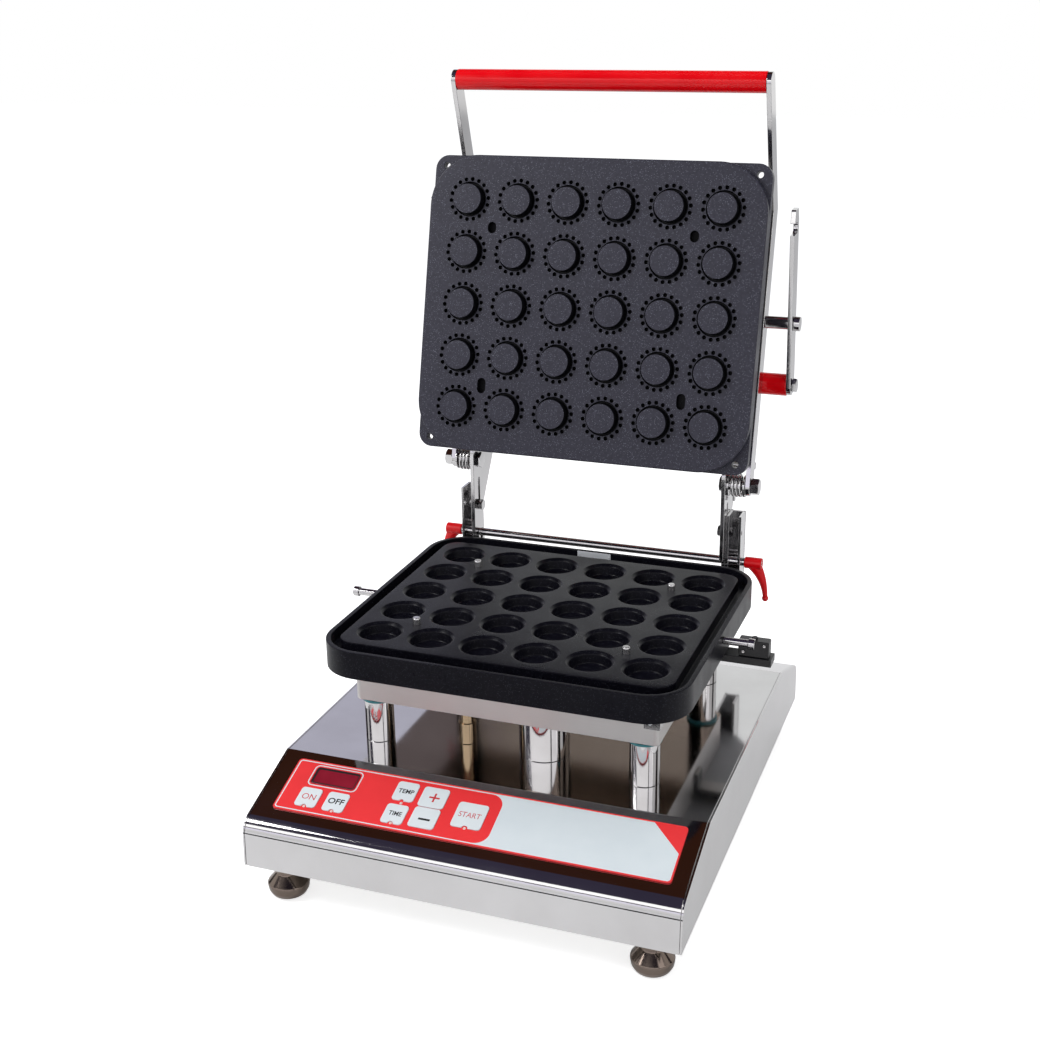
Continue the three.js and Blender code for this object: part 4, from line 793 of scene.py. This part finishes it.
def plate_mesh(cell, level_z, outer_rows):
    """A plate with one cell repeated over the grid, and its outer walls, given as rows of half a length, half a
    width, a corner radius and a height above the level."""
    corners, faces = [], []
    for column in range(COLUMNS):
        for row in range(ROWS):
            base, (shape, cell_faces) = len(corners), cell
            middle_x, middle_y = (column - (COLUMNS - 1) / 2) * PITCH, (row - (ROWS - 1) // 2) * PITCH
            corners += [(middle_x + x, middle_y + y, level_z + z) for x, y, z in shape]
            faces += [tuple(base + i for i in face) for face in cell_faces]
    edge, base = grid_edge(), len(corners)
    corners += [(x, y, level_z) for x, y in edge]
    for half_x, half_y, corner, z in outer_rows:
        corners += [(x, y, level_z + z) for x, y in drawn_out(edge, half_x, half_y, corner)]
    return skin(corners, faces + ring_faces(len(outer_rows) + 1, len(edge), base, last_cap=True))


def bands(rings):
    """Corners and faces of rings of equal count, closed by a cap on the last one."""
    return [corner for ring in rings for corner in ring], ring_faces(len(rings), len(rings[0]), last_cap=True)


tray_top = 235
cup_profile = [(None, 0), (24.6, 0), (23.8, -0.15), (23.3, -0.5), (21.3, -2.2), (20.9, -2.7), (20.7, -3.4),
               (19.0, -10.4), (18.3, -11.4), (17.4, -11.9), (16.4, -12), (8, -12), (2, -12)]
# From the block's eased edge down into the moat, up over the rim and down the outside
tray_rows = [
    (173.1, 147.1, 17.1, 0), (173.7, 147.7, 17.7, -0.3), (174, 148, 18, -0.9), (174, 148, 18, -11),
    (174.3, 148.3, 18.3, -11.7), (175, 149, 19, -12), (184, 163.5, 39, -12), (184.7, 164.2, 39.7, -11.7),
    (185, 164.5, 40, -11), (185, 164.5, 40, -0.7), (185.2, 164.7, 40.2, -0.2), (185.7, 165.2, 40.7, 0),
    (189.3, 168.8, 44.3, 0), (189.8, 169.3, 44.8, -0.2), (190, 169.5, 45, -0.7), (190, 169.5, 45, -28.4),
    (189.4, 168.9, 44.4, -29)]
# The coating is coloured darker than the same coating on the upper plate: partly its own black, partly painted
# shade
black_coat_and_painted_shade = baked_coating("black_nonstick_and_painted_shade", "08080E", "13121B", 0.3, 0.1, 0.2)
# The underside is left as cast
tray = plate_mesh(bands(round_rings(cup_profile)), tray_top, tray_rows)
piece("cup_tray", tray, black_coat_and_painted_shade, "base", ["lower_plate"],
      other=(cast, lambda middle, normal: normal.z < -0.9 and middle.z < 206.1))
pin_steel = polished_stainless("ground_steel", low=0.06, high=0.14)
guide_steel = polished_stainless("ground_steel_guides", low=0.22, high=0.36)
guide_x, guide_y = 2 * PITCH, 1.5 * PITCH
guide_profile = [(4, 234.8), (4, 240.7), (3.4, 242)]
for side, sign in SIDES:
    for end, y in (("front", -guide_y), ("rear", guide_y)):
        piece(f"guide_pin_{end}_{side}", turned(guide_profile, 40, ease=0.5), guide_steel, "base",
              place=shift(sign * guide_x, y, 0))


# Bare plate: a thin strip of aluminium under clear lacquer, held inside the tray's rear rim by two small
# rivets. Nothing is printed on it.
def front_on(x, y):
    """Stands a flat drawing up in the x and z plane, at one place along y."""
    return Matrix(((1, 0, 0, x), (0, 0, 1, y), (0, 1, 0, 0), (0, 0, 0, 1)))


plate_metal = foil("lacquered_aluminium_plate", "F2F4F8", "DDE0E6", 0.32)
bare_plate = cut_plate([rounded_box(-21, 19, 225.2, 234.7, 1.0)], 0.8, 0.2)
bare_plate.transform(front_on(0, 164.1))
plate_parts = [bare_plate]
for x in (-18.6, 16.6):
    rivet = turned([(1.1, 164.4), (1.0, 163.4), (0.5, 163.1), (0, 163.05)], 20, "Y")
    rivet.transform(shift(x, 0, 230.6))
    plate_parts.append(rivet)
piece("bare_plate", merged(*plate_parts), plate_metal, "base")


# Catch pins: steel pins turned on a lathe, polished and screwed into the tray's sides, with a wide head
# that keeps the latch's hooks on.
stud_profile = [(4, 190.2), (4, 216), (5.5, 216), (5.5, 222.5)]
for side, sign in SIDES:
    piece(f"catch_stud_{side}", turned(stud_profile, 40, "X", 0.7, sign), pin_steel, "base",
          [f"catch_pin_{side}"], shift(0, -4.4, 225.5))


# Lid switch: a moulded snap switch on a painted steel bracket at the right of the heater box. The lid
# presses its button as it shuts.
def broken_edges(node, width):
    """The shape of a node of the solid part with its sharp edges broken, in millimetres of the machine."""
    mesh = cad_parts[node].data.copy()
    mesh.transform(MACHINE.inverted())
    work = bmesh.new()
    work.from_mesh(mesh)
    bmesh.ops.remove_doubles(work, verts=work.verts, dist=0.001)
    bmesh.ops.dissolve_limit(work, angle_limit=math.radians(1), verts=work.verts, edges=work.edges)
    sharp = [e for e in work.edges if len(e.link_faces) == 2 and e.calc_face_angle(0) > math.radians(28)]
    bmesh.ops.bevel(work, geom=sharp, offset=width, segments=2, profile=0.5, affect="EDGES", clamp_overlap=True)
    work.to_mesh(mesh)
    work.free()
    return mesh


paint = moulded_black("black_paint", roughness=0.36, grain_mm=1.2)
shelf_steel = satin_stainless("satin_stainless_shelf", grain=(0, 1, 0))
# The underside of the shelf isn't painted
piece("switch_shelf", broken_edges("switch_bracket", 0.5), paint, "base", ["switch_bracket"],
      other=(shelf_steel, lambda middle, normal: normal.z < -0.9))
case_plastic = moulded_black("black_switch_case", roughness=0.34, grain_mm=0.8)
switch_y, rivet_places = 18, ((207, 208), (228.5, 216.6))
case = cut_plate([rounded_box(202, 233.5, 203.3, 221.3, 1.5), *(hole(x, z, 1.6, 24) for x, z in rivet_places)],
                 12, 0.7, 3)
case.transform(front_on(0, switch_y))
button = turned([(3, 221), (3, 223.8)], 32, ease=0.9)
button.transform(shift(217.75, switch_y, 0))
piece("snap_switch", merged(case, button), case_plastic, "base", ["lid_switch"])
rivet_profile = [(1.5, -6.05), (1.5, 6.05)]
for index, (x, z) in enumerate(rivet_places):
    piece(f"switch_rivet_{index + 1}", turned(rivet_profile, 24, "Y", 0.3), pin_steel, "base",
          place=shift(x, switch_y, z))


# Hinge brackets: channels of 3 mm steel behind the tray that guide the uprights, each with a web welded
# to the back of the heater box. The clamp shaft and the slot bolt pass through holes in their cheeks.
SHAFT_Y, SHAFT_Z, SLOT_Y, SLOT_Z = 180.5, 238, 175, 274
bracket_steel = polished_stainless("polished_stainless_brackets", rub=(1, 1, 0), low=0.12, high=0.22)
bracket_low, bracket_high, wall = 171, 294, 3
cheek_box = [(194, bracket_low), (194, bracket_high), (171, bracket_high)]
bracket_holes = [hole(SHAFT_Y, SHAFT_Z, 5, 36), hole(SLOT_Y, SLOT_Z, 2.5, 24)]
for side, sign in SIDES:
    inner_cheek = cut_plate([[(135.9, bracket_low), *cheek_box, (171, 203.4), (135.9, 203.4)], *bracket_holes],
                            wall, 0.4)
    inner_cheek.transform(side_on(sign * 151.8))
    outer_cheek = cut_plate([[(171, bracket_low), *cheek_box], *bracket_holes], wall, 0.4)
    outer_cheek.transform(side_on(sign * 165.5))
    back_wall = cut_plate([rounded_box(-8.35, 8.35, bracket_low, bracket_high, 0.5, 2)], wall, 0.4)
    back_wall.transform(front_on(sign * 158.65, 192.5))
    piece(f"guide_channel_{side}", merged(inner_cheek, outer_cheek, back_wall), bracket_steel, "base",
          [f"hinge_bracket_{side}"])


# Slot bolts: bright steel hexagon bolts through the uprights' long slots, with a thin nut in the channel.
# They guide the uprights as these slide.
for side, sign in SIDES:
    shank = turned([(2.2, 145), (2.2, 157)], 32, "X", sign=sign)
    head = hexagon(11.3, 140.4, 145.4, "X", sign)
    nut = hexagon(8.7, 153.6, 157.1, "X", sign)
    piece(f"slot_screw_{side}", merged(shank, head, nut), pin_steel, "base",
          [f"slot_bolt_{side}"], shift(0, SLOT_Y, SLOT_Z))


# Clamp shaft and levers: a polished steel shaft across the back. Each red lever on its ends, a moulded hub
# with a curved arm and a ball, turns on it to lock the uprights, and a steel screw holds the hub.
on_shaft = shift(0, SHAFT_Y, SHAFT_Z)
shaft = turned([(4.7, -170.5), (4.7, 170.5)], 40, "X", 0.6)
piece("clamp_rod", shaft, pin_steel, "base", ["clamp_shaft"], on_shaft)


def swept(line, radii, sides=24):
    """A round bar along a line in space, with a radius at each point and a flat cap at each end."""
    line = [Vector(p) for p in line]
    corners = []
    side_way = None
    for i, point in enumerate(line):
        ahead = (line[min(i + 1, len(line) - 1)] - line[max(i - 1, 0)]).normalized()
        if side_way is None:
            side_way = ahead.orthogonal().normalized()
        side_way = (side_way - ahead * side_way.dot(ahead)).normalized()
        other = ahead.cross(side_way)
        for k in range(sides):
            angle = 2 * math.pi * k / sides
            corners.append(point + (side_way * math.cos(angle) + other * math.sin(angle)) * radii[i])
    return skin(corners, ring_faces(len(line), sides, first_cap=True, last_cap=True))


def red_plastic(name, roughness):
    """Glossy red moulded plastic with faint flow marks of 29 mm and a soft orange peel of 2 mm."""
    made, shader, _, flow, peel = finish(name, "F20814", [(35.0, 4.0), (500.0, 2.0)], IOR=1.38)
    worked(shader, (flow, "D9000D"), (flow, roughness - 0.05, roughness + 0.07), (peel, 0.08, 0.0001))
    return made


lever_red = red_plastic("red_moulding_levers", 0.3)
hub_profile = [(6.5, 170.8), (6.5, 190), (3.6, 190), (3.6, 188.4)]
screw_profile = [(3.3, 188.3), (3.3, 189.2), (2.9, 189.6), (1.4, 189.6), (1.4, 188.6)]
# The arm bends outward and down, thins from 8 mm to 2.7 mm in radius and is flatter from front to back
first, bend, last = Vector((180.5, 0, -1)), Vector((193.5, 0, -17)), Vector((195, 0, -40))
arm_steps = [i / 16 for i in range(17)]
arm_line = [first * (1 - t) ** 2 + bend * 2 * t * (1 - t) + last * t * t for t in arm_steps]
arm_radii = [2.7 + 5.3 * (1 - t) ** 1.5 for t in arm_steps]
ball_radius = 3.6
ball_profile = [(ball_radius * math.sin(math.radians(a)), -ball_radius * math.cos(math.radians(a)))
                for a in range(0, 181, 9)]
for side, sign in SIDES:
    arm_bar = swept([(sign * p.x, p.y, p.z) for p in arm_line], arm_radii, 28)
    arm_bar.transform(Matrix.Diagonal((1, 0.72, 1, 1)))
    ball = turned(ball_profile, 32)
    ball.transform(shift(sign * 195, 0, -40.5))
    piece(f"clamp_handle_{side}", merged(turned(hub_profile, 48, "X", 0.9, sign), arm_bar, ball), lever_red,
          f"clamp_lever_{side}", [f"clamp_lever_{side}"], on_shaft, crisp=50)
    piece(f"clamp_screw_{side}", turned(screw_profile, 32, "X", sign=sign), pin_steel, f"clamp_lever_{side}",
          place=on_shaft)


# Uprights: slotted plates of 4.3 mm steel that slide 3 mm in the channels and carry the lid's hinge.
# A steel pin near the top of each stops the open lid.
def softened(points, radii):
    """A closed outline with each corner rounded by its own radius."""
    made = []
    for i, corner in enumerate(points):
        p, q, r = Vector(points[i - 1]), Vector(corner), Vector(points[(i + 1) % len(points)])
        bend = math.pi - (p - q).angle(r - q)
        reach = min(radii[i] * math.tan(bend / 2), (p - q).length * 0.48, (r - q).length * 0.48)
        if reach < 0.05:
            made.append(tuple(q))
            continue
        steps = max(2, round(math.degrees(bend) / 9))
        first, last = q + (p - q).normalized() * reach, q + (r - q).normalized() * reach
        middle = q + ((first + last) / 2 - q).normalized() * math.hypot(reach, reach / math.tan(bend / 2))
        start = math.atan2(first.y - middle.y, first.x - middle.x)
        sweep = (math.atan2(last.y - middle.y, last.x - middle.x) - start + math.pi) % (2 * math.pi) - math.pi
        radius = (first - middle).length
        turns = [start + sweep * k / steps for k in range(steps + 1)]
        made += [(middle.x + radius * math.cos(turn), middle.y + radius * math.sin(turn)) for turn in turns]
    return made


def slot_outline(x, low, high, radius, steps=12):
    """A slot with round ends."""
    return arc(x, high - radius, radius, 0, 180, steps) + arc(x, low + radius, radius, 180, 360, steps)


HINGE_Y, HINGE_Z, hinge_hole = 176, 329, 6.3
upright_steel = polished_stainless("polished_stainless_uprights", rub=(0, 1, 0), low=0.08, high=0.18)
upright_outline = softened(
    [(160, 355), (160, 243), (171, 243), (171, 209), (190, 209), (187, 271), (230, 338), (230, 355)],
    [16, 1, 1, 1.5, 3, 6, 4, 3])
stop_profile = [(4, 149), (4, 175.5)]
for side, sign in SIDES:
    plate = cut_plate([upright_outline, hole(HINGE_Y, HINGE_Z, hinge_hole),
                       slot_outline(SLOT_Y, 268.5, 308, 2.5), slot_outline(SHAFT_Y, 230, 243, 5)], 4.3, 0.4)
    plate.transform(side_on(sign * 147.85))
    stop_pin = turned(stop_profile, 32, "X", 0.6, sign)
    stop_pin.transform(shift(0, 195.8, 346.6))
    piece(f"slotted_plate_{side}", merged(plate, stop_pin), upright_steel, "carriage",
          [f"hinge_upright_{side}"])


# Hinge bolts and springs: a thick bolt with two washers carries each arm. The torsion spring wound on it
# balances the lid: three turns of 3.6 mm wire, with one leg down along the upright.
HINGE = shift(0, HINGE_Y, HINGE_Z)
spring_steel = polished_stainless("spring_wire", low=0.12, high=0.22)
wire_radius, coil_radius, coil_start, coil_length, coil_turns, turn_steps = 1.8, 11.2, 154.4, 11.8, 3, 48
coil_steps = coil_turns * turn_steps
coil = [(coil_start, coil_radius, z) for z in (-22, -11, -2)]
coil += [(coil_start + coil_length * i / coil_steps, coil_radius * math.cos(math.pi * i / (turn_steps / 2)),
          coil_radius * math.sin(math.pi * i / (turn_steps / 2))) for i in range(coil_steps + 1)]
coil += [(166.2, coil_radius, z) for z in (2, 7)]
for side, sign in SIDES:
    bolt_parts = [turned([(6, 141), (6, 176)], 48, "X", sign=sign),
                  hexagon(16.45, 140.9, 145.4, "X", sign), hexagon(16.45, 175.8, 184.8, "X", sign)]
    bolt_parts += [turned([(12.5, start), (12.5, start + 2)], 56, "X", 0.35, sign)
                   for start in (150.3, 168.2)]
    piece(f"pivot_bolt_{side}", merged(*bolt_parts), pin_steel, "carriage",
          [f"hinge_bolt_{side}"], HINGE)
    wire = swept([(sign * x, y, z) for x, y, z in coil], [wire_radius] * len(coil), 16)
    piece(f"balance_spring_{side}", wire, spring_steel, "carriage",
          [f"torsion_spring_{side}"], HINGE, crisp=60)


# Upper plate: the same casting turned over, drawn here with the lid shut and swung open. Thirty plungers
# stand on it, each in a shallow groove and a ring of eighteen small pits that let the steam out.
LID = HINGE @ Matrix.Rotation(math.radians(-104.4), 4, "X") @ HINGE.inverted()


def plunger_cell():
    """One plunger pointing down, its groove and its ring of pits, in a square cell. Heights are up from the
    face that looks down."""
    def on_circle(radius, turn):
        return radius * math.cos(turn), radius * math.sin(turn)

    ring_outside, ring_inside, pit_circle = 24.2, 18.8, 21.5
    outer = round_rings([(None, 0), (25.4, 0), (ring_outside, 0)])
    inner = round_rings([(ring_inside, 0), (18.6, 0.1), (18.5, 0.5), (18.3, 3.4), (17.8, 3.9), (16.3, 3.9),
                         (15.8, 3.4), (15.7, 2.8), (15.7, -7.4), (15.6, -7.8), (15.35, -8), (8, -8), (2, -8)])
    corners, faces = bands(inner)
    base = len(corners)
    corners += [corner for ring in outer for corner in ring]
    faces += ring_faces(3, RAYS, base)
    for sector in range(18):
        at = [math.radians(45 + 20 * sector + 5 * k) for k in range(5)]
        line = [on_circle(ring_outside, turn) for turn in at] + [on_circle(pit_circle, at[4])]
        line += [on_circle(ring_inside, turn) for turn in reversed(at)] + [on_circle(pit_circle, at[0])]
        middle = Vector(on_circle(pit_circle, at[2]))
        rings = [[(x, y, 0) for x, y in line]]
        for radius, depth in ((2.3, 0), (2.2, 0.1), (2.1, 0.5), (2.0, 4.2), (1.2, 5.0)):
            rings.append([(*(middle + (Vector(p) - middle).normalized() * radius), depth) for p in line])
        shape, patch = bands(rings)
        base = len(corners)
        corners += shape
        faces += [tuple(base + i for i in face) for face in patch]
    return corners, faces


pad_face, rim_half_x, rim_half_y = 235.4, 186, 159.5
pad_rows = [(184.4, 157.9, 52.4, 0), (185.2, 158.7, 53.2, 0.2), (185.8, 159.3, 53.8, 0.8),
            (rim_half_x, rim_half_y, 54, 1.6), (rim_half_x, rim_half_y, 54, 9.4)]
dark_coat = baked_coating("dark_nonstick", "1D1C26", "3A3947", 0.36, 0.42)
# A near-black copy of the coating: painted shade for the plate's hollows and the plungers' sides
painted_shade_coat = baked_coating("dark_nonstick_painted_shade", "060609", "0E0E13", 0.5, 0.05, 0.2)
# The sockets are drawn out toward the hinge, because the guide pins enter them on the lid's arc
socket_cuts = []
for x in (-guide_x, guide_x):
    for y, swing in ((-guide_y, 2.53), (guide_y, 7.15)):
        cutter = cut_plate([slot_outline(x, y - 4.8, y + 4.8 + swing, 4.8)], 12, 0.0)
        cutter.transform(shift(0, 0, 237.4))
        socket_cuts.append(cutter)
cutters = set_down("cuts", merged(*socket_cuts))
pad = shaped("pad", plate_mesh(plunger_cell(), pad_face, pad_rows),
             ("BOOLEAN", {"operation": "DIFFERENCE", "solver": "EXACT", "object": cutters}))
bpy.data.objects.remove(cutters)
corner_holes = [hole(x, y, 3.5, 36) for x in (-172.8, 172.8) for y in (-148.3, 148.3)]
rim_plate = cut_plate([soft_box(rim_half_x, rim_half_y, 15), *corner_holes], 9.6, 0.6, 3)
rim_plate.transform(shift(0, 0, 249.2))


def painted_shade_faces(middle, normal):
    """Faces in the grooves, the pits and the sockets, and on the plungers' sides, that get a near-black copy of
    the coating as painted shade.
    """
    on_grid = abs(middle.x) < 170 and abs(middle.y) < 143
    hollow, plunger_side = 235.7 < middle.z < 243.9, 227.8 < middle.z < 243.9 and abs(normal.z) < 0.3
    return on_grid and (hollow or plunger_side)


piece("plunger_plate", merged(pad, rim_plate), dark_coat, "lid", ["upper_plate"], LID, crisp=40,
      other=(painted_shade_coat, painted_shade_faces))


# Lid housing: a deep pan of 2 mm steel over the upper heating plate, and two cross rails of square tube
# that tie it to the arms.
dress("lid_heater", cast)
lid_steel = satin_stainless("satin_stainless_lid", low=0.2, high=0.32)
cover_low, cover_high, rail_z = 254.3, 309.3, 322.1
# The pan is drawn with its mouth up and turned over
cover = pan(165, 140, 12, cover_low, cover_high, gauge)
cover.transform(shift(0, 0, cover_low + cover_high) @ Matrix.Diagonal((1, 1, -1, 1)))
cover.flip_normals()
piece("lid_cover", cover, lid_steel, "lid", ["lid_housing"], LID)
for end, y in (("front", -70), ("rear", 95)):
    outer, inner = ([(a + y, b + rail_z) for a, b in soft_box(half, half, radius)]
                    for half, radius in ((12.5, 2.5), (10.5, 1)))
    tube = cut_plate([outer, inner], 340.4, 0.25)
    tube.transform(side_on(0))
    piece(f"square_tube_{end}", tube, lid_steel, "lid", [f"lid_rail_{end}"], LID)


# Arms and handle: flat polished bars 5 mm thick, bent once, run from the hinge past the plate to a thick
# red handle. The latch turns on a bolt with a spacer halfway along.
def bar_outline(line, half, radius):
    """The outline of a bar of even width along a line with one bend, with round ends."""
    (a, b, c) = (Vector(p) for p in line)
    first, last = (b - a).normalized(), (c - b).normalized()
    left_first, left_last = Vector((-first.y, first.x)), Vector((-last.y, last.x))
    lean = (left_first + left_last).normalized()
    corner = lean * (half / lean.dot(left_first))
    start = math.degrees(math.atan2(left_first.y, left_first.x))
    stop = math.degrees(math.atan2(-left_last.y, -left_last.x))
    inside, outside = (softened([tuple(p) for p in line], [0, radius, 0]) for line in (
        (a + left_first * half, b + corner, c + left_last * half),
        (c - left_last * half, b - corner, a - left_first * half)))
    return (inside + arc(c.x, c.y, half, stop + 180, stop, 18)[1:-1] + outside
            + arc(a.x, a.y, half, start + 180, start, 18)[1:-1])


LATCH_Y, LATCH_Z, latch_hole = -2.9, 328.6, 5.3
GRIP_Y, GRIP_Z = -242, 255
arm_steel = polished_stainless("polished_stainless_arms", rub=(0, 1, 0), low=0.07, high=0.16)
arm_outline = bar_outline([(HINGE_Y, HINGE_Z), (-122, HINGE_Z), (GRIP_Y, GRIP_Z)], 10.5, 4)
pivot_profile = [(8, 166.2), (8, 170.2), (5, 170.2), (5, 175.8), (7, 175.8), (7, 200.7), (5, 200.7),
                 (5, 206.3), (8, 206.3), (8, 212.8)]
for side, sign in SIDES:
    bar = cut_plate([arm_outline, hole(HINGE_Y, HINGE_Z, hinge_hole), hole(LATCH_Y, LATCH_Z, latch_hole)],
                    5, 0.5, 3)
    bar.transform(side_on(sign * 173))
    piece(f"flat_arm_{side}", bar, arm_steel, "lid", [f"lid_arm_{side}"], LID)
    piece(f"latch_bolt_{side}", turned(pivot_profile, 48, "X", 0.6, sign), pin_steel, "lid",
          [f"latch_pivot_{side}"], LID @ shift(0, LATCH_Y, LATCH_Z))
grip_red = red_plastic("red_moulding_grips", 0.16)
grip = turned([(11, -170.2), (11, 170.2)], 72, "X", 0.8)
piece("red_handle", grip, grip_red, "lid", ["handle"], LID @ shift(0, GRIP_Y, GRIP_Z))


# Latch: two flat levers, each with a hook that catches a pin on the tray, joined by a red bar for the hand.
# A hexagon screw holds each end of the bar.
LATCH = LID @ shift(0, LATCH_Y, LATCH_Z) @ Matrix.Rotation(math.radians(-70.56), 4, "X")
bar_z, half, hook_top, hook_lip, hook_foot = 70, 11, -98, -110.6, -124
mouth = arc(0.5, -104.3, 6.3, 270, 90, 16)
hook_corners = [(-half, bar_z - 1), (-half, hook_top), (-half, hook_lip), (-7, hook_foot), (7, hook_foot),
                (half, hook_lip - 0.5)]
lever_outline = (arc(0, bar_z, half, 0, 180, 24) + softened(hook_corners, [0, 0, 4, 2.5, 2.5, 1])[1:]
                 + [(half, hook_lip), *mouth, (half, hook_top)])
for side, sign in SIDES:
    hook = cut_plate([lever_outline, hole(0, 0, latch_hole), hole(0, bar_z, latch_hole)], 5, 0.4)
    hook.transform(side_on(sign * 203.5))
    piece(f"hook_lever_{side}", hook, arm_steel, "latch_bail", [f"latch_lever_{side}"], LATCH)
on_bar = LATCH @ shift(0, 0, bar_z)
red_bar = turned([(12, -200.8), (12, 200.8)], 72, "X", 0.8)
piece("red_bar", red_bar, grip_red, "latch_bail", ["latch_bar"], on_bar)
for side, sign in SIDES:
    shank = turned([(5, 200.4), (5, 207)], 40, "X", sign=sign)
    piece(f"bar_screw_{side}", merged(shank, hexagon(13.8, 206.3, 211.3, "X", sign)), pin_steel, "latch_bail",
          place=on_bar)
